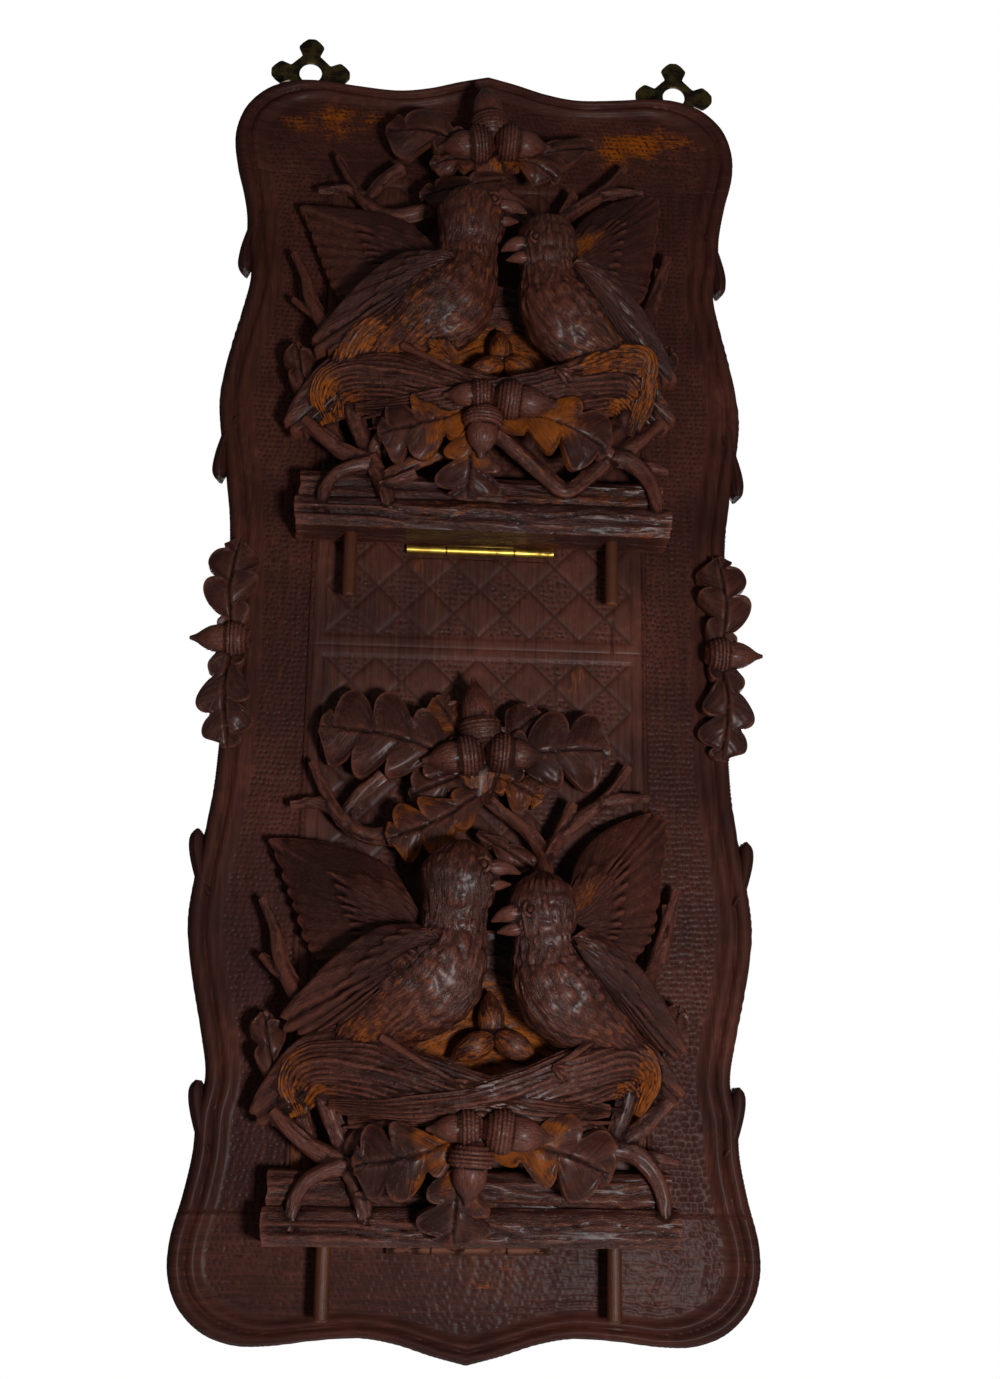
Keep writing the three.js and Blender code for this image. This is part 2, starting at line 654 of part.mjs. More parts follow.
// Fronts, their pegs and their hinges
const spanEnd = KNUCKLE_LENGTH / 2;
const outerSpans = [[-hingeHalf, -spanEnd - KNUCKLE_GAP], [spanEnd + KNUCKLE_GAP, hingeHalf]];
const innerSpans = [[-spanEnd, spanEnd]];
const clearOfInner = [[-spanEnd - KNUCKLE_GAP, spanEnd + KNUCKLE_GAP]];
const clearOfOuter = [[-hingeHalf - MARGIN, -spanEnd], [spanEnd, hingeHalf + MARGIN]];
const fronts = [['upper', UPPER_FRONT, UPPER_SCENE], ['lower', LOWER_FRONT, LOWER_SCENE]];
for (const [name, height, scene] of fronts) {
  const front = new THREE.Group();
  front.position.set(0, -FRONT_BACK, height);
  rack.add(front);
  piece(`${name}_carving`, carving(scene), CARVED_WALNUT, front);
  for (const [end, side] of [['left', -1], ['right', 1]]) {
    const length = PEG_DROP + SOCKET_DEPTH - FIT_GAP;
    const peg = new THREE.CylinderGeometry(PEG_RADIUS, PEG_RADIUS, length, PEG_SIDES);
    peg.rotateX(Math.PI / 2).translate(side * PEG_SPREAD, -PEG_FORWARD, length / 2 - PEG_DROP);
    piece(`${name}_${end}_peg`, solid(peg), PEG_WOOD, front);
  }
  const axis = new THREE.Group();
  axis.position.set(0, -FRONT_BACK, height - AXIS_DROP);
  rack.add(axis);
  piece(`${name}_hinge_leaf`, hingeLeaf(FIXED_LEAF_BACK, outerSpans, clearOfInner), BRASS, axis);
  piece(`${name}_front_leaf`, hingeLeaf(FRONT_LEAF_BACK, innerSpans, clearOfOuter), BRASS, axis);
  piece(`${name}_hinge_pin`, bar(PIN_RADIUS, -hingeHalf, hingeHalf, PIN_SIDES), BRASS, axis);
}

export default rack;
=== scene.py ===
# %% [markdown]
# # A carved walnut wall rack
# This lesson dresses a two-tier hanging rack for letters and newspapers. A moulded backboard carries two
# pierced carved fronts, each with a pair of birds at a nest. The plain solids are already packed as a
# frame of bodies that move, and every piece made here rides on one of those bodies.

import json
import math

import bpy
import numpy as np
from mathutils import Matrix, Vector

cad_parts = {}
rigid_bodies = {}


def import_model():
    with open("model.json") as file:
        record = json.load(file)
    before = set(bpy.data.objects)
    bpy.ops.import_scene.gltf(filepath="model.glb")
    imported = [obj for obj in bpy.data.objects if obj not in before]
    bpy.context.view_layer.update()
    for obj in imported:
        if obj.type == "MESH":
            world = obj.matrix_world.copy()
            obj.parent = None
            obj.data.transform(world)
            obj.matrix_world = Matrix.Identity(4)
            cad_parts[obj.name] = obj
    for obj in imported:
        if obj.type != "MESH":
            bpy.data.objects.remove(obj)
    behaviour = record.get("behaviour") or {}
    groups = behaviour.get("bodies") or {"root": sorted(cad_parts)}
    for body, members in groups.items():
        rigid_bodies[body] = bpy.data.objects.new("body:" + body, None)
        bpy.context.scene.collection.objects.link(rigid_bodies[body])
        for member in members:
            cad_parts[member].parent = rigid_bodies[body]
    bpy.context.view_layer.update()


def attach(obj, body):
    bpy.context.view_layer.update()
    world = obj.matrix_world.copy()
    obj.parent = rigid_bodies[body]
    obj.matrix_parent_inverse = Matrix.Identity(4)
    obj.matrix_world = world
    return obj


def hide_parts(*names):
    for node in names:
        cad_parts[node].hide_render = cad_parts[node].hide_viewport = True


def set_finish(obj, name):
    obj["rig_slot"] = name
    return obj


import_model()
MM = 0.001

# %% [markdown]
# ## Camera
# The photograph was taken from low down and a little to the left, close to the rack, so its lower half
# looks wider than its upper half. A camera is placed by its eye point, the point on the wall it looks at
# and a small roll. The lens follows from the focal length in pixels and the picture's height.

# %% The camera
EYE = Vector((-51.5, -923.1, -252.0)) * MM
AIM = Vector((14.28, 0.0, -15.79)) * MM
ROLL = math.radians(0.783)
FOCAL_PIXELS = 1600
PICTURE_HEIGHT = 1379
SENSOR = 36.0

camera_data = bpy.data.cameras.new("camera")
camera_data.sensor_width = SENSOR
camera_data.lens = SENSOR * FOCAL_PIXELS / PICTURE_HEIGHT
camera_data.clip_start = 0.01
camera = bpy.data.objects.new("camera", camera_data)
bpy.context.collection.objects.link(camera)
facing = (AIM - EYE).to_track_quat("-Z", "Y").to_matrix().to_4x4()
camera.matrix_world = Matrix.Translation(EYE) @ facing @ Matrix.Rotation(ROLL, 4, "Z")
bpy.context.scene.camera = camera
print("lens", round(camera_data.lens, 2), "mm")

# %% [markdown]
# ## Curves, noise and closed skins
# Carving is easiest to describe as a few named forms: limbs that follow a curve, and plates with a worked
# face. Each form is a grid of points, so numpy can place and press it in one go. A skin keeps two facts at
# every point: how the grain flows over it, in millimetres along and around, and how much raw orange wood
# shows through the dark stain there.

# %% Curves and noise
FRONT = np.array([0.0, -1.0, 0.0])


def spline(knots, t):
    """Points of a smooth curve through the knots, for t from 0 to 1."""
    knots = np.asarray(knots, float)
    knots = knots[:, None] if knots.ndim == 1 else knots
    spans = len(knots) - 1
    padded = np.vstack([2 * knots[0] - knots[1], knots, 2 * knots[-1] - knots[-2]])
    place = np.clip(np.asarray(t, float) * spans, 0, spans - 1e-9)
    first = place.astype(int)
    u = (place - first)[:, None]
    a, b, c, d = (padded[first + step] for step in range(4))
    return b + 0.5 * u * (c - a + u * (2 * a - 5 * b + 4 * c - d + u * (3 * (b - c) + d - a)))


def smooth(low, high, value):
    """A soft step from 0 at low to 1 at high."""
    t = np.clip((value - low) / (high - low), 0, 1)
    return t * t * (3 - 2 * t)


def ripple(x, y, seed=0.0):
    """Smooth noise from 0 to 1 on a plane."""
    x, y = np.broadcast_arrays(x, y)
    column, row = np.floor(x), np.floor(y)
    u, v = x - column, y - row
    u, v = u * u * (3 - 2 * u), v * v * (3 - 2 * v)

    def corner(i, j):
        value = np.sin((column + i) * 127.1 + (row + j) * 311.7 + seed * 74.7) * 43758.5453
        return value - np.floor(value)

    low = corner(0, 0) * (1 - u) + corner(1, 0) * u
    high = corner(0, 1) * (1 - u) + corner(1, 1) * u
    return low * (1 - v) + high * v


def unit(vectors):
    return vectors / (np.linalg.norm(vectors, axis=-1, keepdims=True) + 1e-9)


print("a soft step from 2 to 4 is", smooth(2, 4, 3.5), "at 3.5")

# %% Closed skins
class Skin:
    """A closed skin: points in mm, faces, and the flow and the raw wood at each point."""

    def __init__(self, points, faces, flow=(0, 0, 0), raw=0.0):
        self.points = np.asarray(points, float).reshape(-1, 3)
        count = len(self.points)
        self.flow = np.broadcast_to(np.asarray(flow, float), (count, 3)).copy()
        self.raw = np.broadcast_to(np.asarray(raw, float), (count,)).copy()
        inside_out = sum(self._volume(ring) for ring in faces) < 0
        self.faces = [ring[:, ::-1] if inside_out else ring for ring in faces]

    def _volume(self, ring):
        first = self.points[ring[:, :1]]
        return np.sum(first * np.cross(self.points[ring[:, 1:-1]], self.points[ring[:, 2:]]))

    def mirrored(self):
        return Skin(self.points * [-1, 1, 1], self.faces, self.flow, self.raw)


def grid_faces(rows, columns, closed=False):
    row = np.arange(rows - 1)[:, None] * columns
    column = np.arange(columns if closed else columns - 1)[None, :]
    here, beside = row + column, row + (column + 1) % columns
    return np.stack([here, beside, beside + columns, here + columns], -1).reshape(-1, 4)


def grid_rim(rows, columns):
    """The point numbers round the rim of a grid."""
    across, down = np.arange(columns), np.arange(rows)
    return np.concatenate([
        across[:-1], down[:-1] * columns + columns - 1,
        (rows - 1) * columns + across[:0:-1], down[:0:-1] * columns,
    ])


def tube(rings, flow, raw=0.0):
    """A closed tube from a stack of rings."""
    rows, columns = rings.shape[:2]
    here = np.arange(columns)
    beside = (here + 1) % columns
    foot, head = np.full(columns, rows * columns), np.full(columns, rows * columns + 1)
    last = (rows - 1) * columns
    caps = np.vstack([
        np.stack([foot, beside, here], 1),
        np.stack([head, last + here, last + beside], 1),
    ])
    points = np.vstack([rings.reshape(-1, 3), rings[0].mean(0), rings[-1].mean(0)])
    flow = np.vstack([flow.reshape(-1, 3), flow[0].mean(0), flow[-1].mean(0)])
    raw = np.broadcast_to(raw, (rows, columns))
    raw = np.concatenate([raw.ravel(), raw[0, :1], raw[-1, :1]])
    return Skin(points, [grid_faces(rows, columns, True), caps], flow, raw)


def plate(front, back, flow, raw=0.0):
    """A closed plate between two grids of the same size."""
    rows, columns = front.shape[:2]
    count = rows * columns
    faces = grid_faces(rows, columns)
    rim = grid_rim(rows, columns)
    following = np.roll(rim, -1)
    walls = np.stack([following, rim, rim + count, following + count], 1)
    points = np.vstack([front.reshape(-1, 3), back.reshape(-1, 3)])
    flow = np.vstack([flow.reshape(-1, 3)] * 2)
    raw = np.tile(np.broadcast_to(raw, (rows, columns)).ravel(), 2)
    return Skin(points, [faces, faces[:, ::-1] + count, walls], flow, raw)


def hoop(rings, flow=(0, 0, 0)):
    """A closed skin with a hole through it: the last ring joins the first one."""
    rows, columns = rings.shape[:2]
    here = np.arange(columns)
    beside = (here + 1) % columns
    last = (rows - 1) * columns
    seam = np.stack([last + here, last + beside, beside, here], 1)
    return Skin(rings.reshape(-1, 3), [grid_faces(rows, columns, True), seam], flow)


def slab(front, back_y, raw=0.0, dent=0.0):
    """A worked front grid on a flat back. A board has no flow, so its dents ride there."""
    rows, columns = front.shape[:2]
    count = rows * columns
    rim = grid_rim(rows, columns)
    front = front.reshape(-1, 3)
    behind = front[rim].copy()
    behind[:, 1] = back_y
    number = np.arange(len(rim))
    following = np.roll(number, -1)
    walls = np.stack([rim[following], rim, count + number, count + following], 1)
    back = (count + number)[None, ::-1]
    raw, dent = (np.broadcast_to(value, (rows, columns)).ravel() for value in (raw, dent))
    raw, dent = (np.concatenate([value, 0 * value[rim]]) for value in (raw, dent))
    points = np.vstack([front, behind])
    return Skin(points, [grid_faces(rows, columns), walls, back], np.outer(dent, [1, 0, 0]), raw)


print("a grid of 3 by 4 points has", len(grid_faces(3, 4)), "faces and", len(grid_rim(3, 4)), "rim points")

# %% [markdown]
# ## From skins to Blender objects
# A mesh could be drawn with operators, one form at a time. Here it is filled straight from arrays, which is
# quick for many thousands of points. Forms that pass through each other are welded by one Boolean union, so
# that no hidden faces stay inside. A Decimate modifier then thins the weld, because smooth wood needs fewer
# triangles than the cut straw and feathers.

# %% Meshes, objects and welds
SHARP = math.radians(42)
MOST_TRIANGLES = 190_000


def as_mesh(name, skins):
    starts = np.cumsum([0] + [len(skin.points) for skin in skins])
    corners, sizes = [], []
    for skin, start in zip(skins, starts):
        for ring in skin.faces:
            corners.append((ring + start).ravel())
            sizes.append(np.full(len(ring), ring.shape[1]))
    corners, sizes = np.concatenate(corners), np.concatenate(sizes)
    mesh = bpy.data.meshes.new(name)
    mesh.vertices.add(starts[-1])
    mesh.vertices.foreach_set("co", (np.vstack([skin.points for skin in skins]) * MM).ravel())
    mesh.loops.add(len(corners))
    mesh.loops.foreach_set("vertex_index", corners.astype(np.int32))
    mesh.polygons.add(len(sizes))
    mesh.polygons.foreach_set("loop_start", (np.cumsum(sizes) - sizes).astype(np.int32))
    mesh.update(calc_edges=True)
    flow = mesh.attributes.new("flow", "FLOAT_VECTOR", "POINT")
    flow.data.foreach_set("vector", np.vstack([skin.flow for skin in skins]).ravel())
    raw = mesh.attributes.new("raw", "FLOAT", "POINT")
    raw.data.foreach_set("value", np.concatenate([skin.raw for skin in skins]))
    return mesh


def triangles(mesh):
    return len(mesh.loops) - 2 * len(mesh.polygons)


def put(name, mesh):
    """A smooth-shaded object with crisp edges where the surface turns sharply."""
    mesh.name = name
    mesh.shade_smooth()
    mesh.set_sharp_from_angle(angle=SHARP)
    piece = bpy.data.objects.new(name, mesh)
    bpy.context.collection.objects.link(piece)
    return piece


def carve_as_one(name, skins):
    """Skins that pass through each other, welded into one closed skin and thinned if it is too fine."""
    shop = bpy.data.collections.new("shop")
    bpy.context.scene.collection.children.link(shop)
    block = bpy.data.objects.new("block", as_mesh("block", skins[:1]))
    bpy.context.scene.collection.objects.link(block)
    for number, skin in enumerate(skins[1:]):
        shop.objects.link(bpy.data.objects.new(f"cut_{number}", as_mesh("cut", [skin])))
    weld = block.modifiers.new("weld", "BOOLEAN")
    weld.operation = "UNION"
    weld.operand_type = "COLLECTION"
    weld.collection = shop
    weld.solver = "MANIFOLD"

    def result():
        bpy.context.view_layer.update()
        made = block.evaluated_get(bpy.context.evaluated_depsgraph_get())
        return bpy.data.meshes.new_from_object(made)

    mesh = result()
    if triangles(mesh) > MOST_TRIANGLES:
        block.modifiers.remove(weld)
        block.data = mesh
        thin = block.modifiers.new("thin", "DECIMATE")
        thin.ratio = MOST_TRIANGLES / triangles(mesh)
        mesh = result()
    for scrap in [block, *shop.objects]:
        bpy.data.objects.remove(scrap)
    bpy.data.collections.remove(shop)
    print(name, "from", len(skins), "skins:", triangles(mesh), "triangles")
    return mesh


print("a weld keeps at most", MOST_TRIANGLES, "triangles")

# %% [markdown]
# ## Limbs, leaves, fans and acorns
# A limb is an oval swept along a curve. An oak leaf is a plate whose width swells into lobes, with a cut
# midrib and a vein to each lobe. A fan of feathers is a plate that spreads from a root to a scalloped
# edge, with shorter rows of feathers lying on it. Places are given as right, up and forward of a front's
# lower back edge. A relief is a function that says how far the surface is pressed out, in millimetres.

# %% Limbs
CARVING_BACK = 6.0


def to_space(points):
    """[right, up, forward] places as points of the frame."""
    return np.asarray(points, float)[..., [0, 2, 1]] * [1, -1, 1]


def press(rings, centre, amount):
    """Rings pressed out along their own normals."""
    along = np.gradient(rings, axis=0)
    around = np.roll(rings, -1, 1) - np.roll(rings, 1, 1)
    normal = unit(np.cross(along, around))
    outward = np.sum(normal * (rings - centre[:, None]), axis=(0, 1, 2))
    return rings + np.sign(outward) * normal * amount[..., None]


limb_count = 0


def limb(path, wide, deep=None, sides=16, steps=32, relief=None, raw=0.0, back=CARVING_BACK):
    """An oval section swept along a path, kept forward of a plane at the back."""
    global limb_count
    limb_count += 1
    t = np.linspace(0, 1, steps + 1)
    centre = spline(to_space(path), t)
    tangent = unit(np.gradient(centre, axis=0))
    forward = unit(FRONT - (tangent @ FRONT)[:, None] * tangent)
    across = np.cross(tangent, forward)
    half = np.maximum(spline(wide, t), 0.2)
    rise = np.maximum(spline(wide if deep is None else deep, t), 0.2)
    angle = np.pi + 2 * np.pi * np.arange(sides) / sides
    rings = centre[:, None] + across[:, None] * (half * np.sin(angle))[..., None]
    rings = rings + forward[:, None] * (rise * np.cos(angle))[..., None]
    along = np.cumsum(np.linalg.norm(np.diff(centre, axis=0, prepend=centre[:1]), axis=1))[:, None]
    around = (angle * np.mean((half + rise) / 2))[None]
    if relief is not None:
        rings = press(rings, centre, relief(along, around, t[:, None]) + 0 * along * around)
    rings[..., 1] = np.minimum(rings[..., 1], -back)
    flow = np.stack(np.broadcast_arrays(along, around, limb_count * 7.0), -1)
    raw = raw(t[:, None], angle[None]) if callable(raw) else raw
    return tube(rings, flow, raw)


def bark(coarse, fine=0.35):
    """Relief of split bark that runs along a limb."""
    seed = limb_count * 1.7

    def relief(along, around, t):
        wander = 1.2 * ripple(along / 16, around / 6, seed + 3)
        split = 1 - np.abs(2 * ripple(around / 2.6 + wander, along / 30, seed) - 1)
        return coarse * (split - 0.5) + fine * (ripple(around / 1.1, along / 9, seed + 5) - 0.5)

    return relief


print("carved limbs stop", CARVING_BACK, "mm in front of a carving's back")

# %% Oak leaves
def oak_leaf(stem, tip, half, lobes=3, lift=4.0, thick=5.0, bow=0.0, full=0.5, rows=54, columns=29,
             raw=0.0, back=CARVING_BACK):
    """A lobed leaf from its stem to its tip, curved towards the front by lift and sideways by bow."""
    stem, tip = np.asarray(stem, float), np.asarray(tip, float)
    length = np.linalg.norm(tip - stem)
    side = np.array([-(tip - stem)[1], (tip - stem)[0], 0.0]) / np.hypot(*(tip - stem)[:2])
    middle = (stem + tip) / 2 + [0, 0, lift] + bow * side
    u = np.linspace(0.0, 1.0, rows)
    v = np.linspace(-1, 1, columns)[None]
    spine = spline(to_space([stem, middle, tip]), u)
    tangent = unit(np.gradient(spine, axis=0))
    forward = unit(FRONT - (tangent @ FRONT)[:, None] * tangent)
    across = np.cross(tangent, forward)
    swell = np.sin(np.pi * np.clip(0.05 + 0.93 * u, 0, 1)) ** 0.55 * (1.05 - full + full * u)
    uneven = 0.3 * (v > 0) + 0.12 * np.sin(5.0 * u + stem[0])[:, None]
    notch = np.abs(np.sin(np.pi * (lobes * u[:, None] + uneven))) ** 0.5
    width = np.maximum(1.1 * half * swell[:, None] * (0.34 + 0.66 * notch), 1.2)
    sweep = 0.34 * np.abs(v) ** 1.5 * width * smooth(0, 0.2, u)[:, None] * smooth(1.0, 0.8, u)[:, None]
    reach = u[:, None] - 0.12 * np.abs(v)
    lobe = np.abs(np.sin(np.pi * (lobes * np.clip(reach, 0, 1) + uneven)))
    to_vein = np.abs((lobes * reach + uneven) % 1.0 - 0.5) / lobes * length
    face = 2.2 * (lobe**0.7 - 0.4) * (1 - v**2) ** 0.5 - 2.4 * v**2 * width / half
    face = face - 1.3 * np.exp(-(v * width / 1.0) ** 2) * smooth(1.0, 0.85, u)[:, None]
    veined = smooth(0.95, 0.6, np.abs(v)) * smooth(0, 0.12, np.abs(v))
    face = face - 0.35 * np.exp(-(to_vein / 0.8) ** 2) * veined
    face = face + 2.3 * np.abs(v) ** 3 * np.sin(2 * np.pi * lobes * u[:, None] + 4 * v)
    grid = spine[:, None] + across[:, None] * (v * width)[..., None] + tangent[:, None] * sweep[..., None]
    front = grid + forward[:, None] * (face + thick / 2)[..., None]
    rear = grid + forward[:, None] * (np.minimum(face, 0) - thick / 2)[..., None]
    for sheet, clear in ((front, 0.8), (rear, 0)):
        sheet[..., 1] = np.minimum(sheet[..., 1], -back - clear)
    flow = np.stack(np.broadcast_arrays(reach * length, v * width + 3 * to_vein, stem[0]), -1)
    return plate(front, rear, flow, raw(u[:, None], v) if callable(raw) else raw)


print("a leaf has", len(oak_leaf([0, 0, 20], [0, 60, 20], 20).points), "points")

# %% Fans of feathers
def between(points, count):
    """Evenly numbered points on a smooth line through a few given ones."""
    return spline(points, np.linspace(0, 1, count)).tolist()


def fan(root, lead, tips, coverts, thick=7.0, bulge=4.0, rows=56, columns=64, rise=1.2, cut=0.06, raw=0.0):
    """Feathers that spread from a root. The edge runs along the lead, then from tip to tip."""
    root = np.asarray(root, float)
    rim = np.asarray(list(lead) + list(tips), float)
    s = np.linspace(0, 1, columns)
    edge = spline(rim, s)
    feather = s * (len(rim) - 1) - len(lead)
    within = feather - np.round(feather)
    trailing = smooth(-0.6, 0.0, feather)
    edge = root + (edge - root) * (1 - cut * trailing * (2 * within) ** 2)[:, None]
    u = np.linspace(0.06, 1, rows)[:, None]
    sheet = root + (edge - root)[None] * u[..., None]
    sheet[..., 2] += bulge * np.sin(np.pi * u**0.8)
    blade = rise * (1 - (2 * within) ** 2) + 0.9 * rise * within * trailing
    blade = blade - 0.4 * rise * np.exp(-(within / 0.06) ** 2)
    face = blade * smooth(0.2, 0.45, u)
    for row, share in enumerate(coverts):
        short = (feather + 0.5 * (row + 1)) % 1.0 - 0.5
        ends = share * (1 - 0.16 * (2 * short) ** 2)
        lying = smooth(ends + 0.03, ends - 0.01, u)
        face = face * (1 - 0.6 * lying) + lying * (1.3 + 0.9 * (1 - (2 * short) ** 2))
    span = np.linalg.norm(edge - root, axis=1)[None]
    barb = ripple(14 * within + 0 * u, u * span / 5 + 9 * np.abs(within), root[0])
    face = face + 0.3 * (barb - 0.5)
    face = face * smooth(1.0, 0.97, u) - 0.8 * smooth(0.95, 1.0, u)
    front, rear = sheet.copy(), sheet.copy()
    front[..., 2] = np.maximum(front[..., 2] + face, CARVING_BACK + 1)
    rear[..., 2] = np.maximum(rear[..., 2] - thick, CARVING_BACK)
    flow = np.stack(np.broadcast_arrays(u * span, feather * 9.0, root[0]), -1)
    return plate(to_space(front), to_space(rear), flow, raw(u, s[None]) if callable(raw) else raw)


print("a line through 2 points, drawn with 3:", between([[0, 0], [4, 2]], 3))

# %% Acorns and eggs
NUT_GIRTH = np.array([0.72, 0.9, 0.97, 0.96, 0.86, 0.62, 0.3, 0.12])
CUP_GIRTH = np.array([0.3, 0.8, 1.08, 1.2, 1.23, 1.16, 0.8])
EGG_GIRTH = [0.6, 4.6, 6.8, 7.4, 6.6, 4.2, 0.6]


def acorn(stalk, tip, radius, back=CARVING_BACK):
    """A scaled cup and a smooth pointed nut on one line."""
    stalk, tip = np.asarray(stalk, float), np.asarray(tip, float)
    at = lambda share: stalk + (tip - stalk) * share

    def scales(along, around, t):
        row = along / 2.3
        ring = around / 2.6 + 0.5 * np.floor(row)
        return 0.9 * (np.abs(np.sin(np.pi * row)) * np.abs(np.sin(np.pi * ring))) - 0.3

    return [
        limb([at(0.25), at(0.6), at(1)], radius * NUT_GIRTH, sides=24, steps=26, back=back),
        limb([at(-0.06), at(0.18), at(0.42)], radius * CUP_GIRTH, sides=48, steps=26, relief=scales,
             back=back),
    ]


def egg(path):
    return limb(path, EGG_GIRTH, sides=24, steps=24, raw=0.5)


print("an egg is", 2 * max(EGG_GIRTH), "mm thick")

# %% [markdown]
# ## The carved fronts
# Both fronts show the same scene, cut from one board each: a log with roots, a nest of twisted straw with
# three pointed eggs, two birds beak to beak, forked twigs, and oak leaves with acorns above and below.
# Every form is a skin of its own at first. Then one union welds all of them, so the result is a single
# closed carving, as it is on the real rack. The log comes first. It could be a noisy cylinder, but its
# stepped outline is drawn once and swept along, so that the strands of split wood follow it.

# %% The log and its roots
LOG_LOWER = [[0, 0], [27.5, 0], [30, 4], [29, 8], [30.5, 12], [28, 17], [24, 19.8], [0, 19.8]]
LOG_UPPER = [[0, 18.5], [20, 18.5], [23, 23], [21.5, 28], [22.5, 32], [17, 37.5], [13, 38], [0, 38]]


def log_step(profile, left, right, seed, sides=90, steps=130):
    """One step of the log: a profile of [forward, up] drawn along it and split into long strands."""
    ring = np.asarray(profile + profile[:1], float)
    lengths = np.concatenate([[0], np.cumsum(np.linalg.norm(np.diff(ring, axis=0), axis=1))])
    place = np.linspace(0, lengths[-1], sides, endpoint=False)
    depth, up = (np.interp(place, lengths, ring[:, axis]) for axis in (0, 1))
    x = np.linspace(left, right, steps)[:, None]
    wander = 2.6 * ripple(x / 34, place / 11, seed)
    strand = np.abs(2 * ripple(place / 4.4 + wander, x / 60, seed + 1) - 1) ** 0.6
    hair = np.abs(2 * ripple(place / 1.9 + wander, x / 30, seed + 2) - 1) ** 0.6
    cut = (2.0 * strand + 1.0 * hair - 2.0) * smooth(1.0, 5.0, depth)
    ragged = 1.6 * (ripple(place / 5, 0 * place, seed + 3) - 0.5) * smooth(1, 6, depth)
    x = x + np.where(x < 0, -1, 1) * ragged * smooth(0.9, 1.0, np.abs(2 * (x - left) / (right - left) - 1))
    middle = np.array([10.0, np.mean(up)])
    out = unit(np.stack([depth, up], 1) - middle)
    depth = np.maximum(depth + out[:, 0] * cut, 0)
    up = up + out[:, 1] * cut * 0.5 * (place > 0)
    rings = np.stack(np.broadcast_arrays(x, -depth, np.maximum(up, 0)), -1)
    flow = np.stack(np.broadcast_arrays(x, place, seed), -1)
    worn = 0.35 * smooth(0.55, 0.8, ripple(x / 30, place / 9, seed + 4))
    return tube(rings, flow, worn)


log_skins = [
    log_step(LOG_LOWER, -109, 110, 11.0),
    log_step(LOG_UPPER, -107.5, 107, 23.0),
]

ROOTS = [
    ([[-95, 8, 26], [-92, 24, 26], [-86, 33, 26], [-77, 38, 25], [-67, 41, 24]], [3, 3.4, 4, 4.6, 5.5]),
    ([[-67, 43, 24], [-61, 32, 25], [-57, 18, 26], [-56, 10, 25]], [5.5, 4.6, 4.4, 4]),
    ([[-60, 26, 26], [-50, 29, 29], [-40, 33, 31]], [4, 3.6, 3]),
    ([[-66, 42, 23], [-82, 48, 22], [-94, 56, 22], [-106, 68, 20]], [5.5, 5, 4.5, 4]),
    ([[-66, 42, 22], [-70, 54, 21], [-76, 68, 22], [-82, 88, 24]], [5.5, 5, 5.5, 6.5]),
    ([[-66, 42, 22], [-63, 53, 25], [-50, 64, 32]], [5, 4.5, 4.5]),
    ([[-84, 49, 21], [-90, 64, 19], [-93, 84, 19]], [3.6, 3.4, 4]),
    ([[75, 51, 24], [86, 48, 24], [95, 40, 24], [101, 28, 25], [103, 9, 25]], [5.5, 5, 4.4, 4, 3.4]),
    ([[75, 51, 23], [79, 64, 22], [83, 80, 23], [87, 98, 24]], [5.5, 5, 5.5, 6]),
    ([[76, 52, 23], [90, 60, 22], [106, 75, 20]], [5, 4.6, 4]),
    ([[75, 51, 25], [65, 57, 28], [50, 67, 33]], [5.5, 6, 7]),
    ([[90, 46, 24], [100, 46, 23], [110, 43, 22]], [3.4, 2.8, 1.6]),
]
root_skins = [limb(path, wide, sides=20, steps=40, relief=bark(1.4), raw=0.2) for path, wide in ROOTS]
print("log and roots", len(log_skins) + len(root_skins), "skins")

# %% [markdown]
# The nest is twisted straw. Straws could be made one by one, but four thick bundles with straws pressed
# into them look the same and weld well. A hollow wall of bent strands stands behind the eggs, and a few
# loose straws cross the bundles.

# %% The nest
BUNDLES = [
    ([[-92, 66, 20], [-97, 82, 22], [-86, 93, 28], [-55, 93, 37], [-27, 86, 43], [5, 77, 47], [36, 72, 44],
      [72, 70, 32]], [4, 8, 11, 12, 11.5, 10, 8.5, 2.5]),
    ([[88, 68, 20], [94, 86, 22], [83, 97, 29], [58, 93, 38], [31, 83, 44], [2, 76, 48], [-34, 72, 44],
      [-76, 72, 30]], [4, 8, 11, 12, 11, 10, 8.5, 2.5]),
    ([[-92, 70, 18], [-80, 82, 25], [-52, 80, 37], [-16, 74, 43], [20, 70, 43], [62, 69, 32]],
     [4, 8, 9, 8, 7, 2.5]),
    ([[90, 72, 18], [78, 84, 26], [50, 79, 38], [14, 73, 43], [-22, 69, 42], [-66, 65, 30]],
     [4, 8, 9, 8, 7, 2.5]),
]
STRAW_WIDTH = 2.4


def straw(turn, seed):
    """Relief of long straws laid side by side, which turn slowly round their bundle."""
    def relief(along, around, t):
        place = around / STRAW_WIDTH + turn * along / 100 + 1.5 * ripple(along / 22, around / 9, seed)
        strand = 1 - np.abs(2 * (place % 1.0) - 1)
        uneven = ripple(np.floor(place) * 0.73, along / 38, seed + 2)
        return 1.3 * strand**0.8 + 2.0 * uneven - 1.8

    return relief


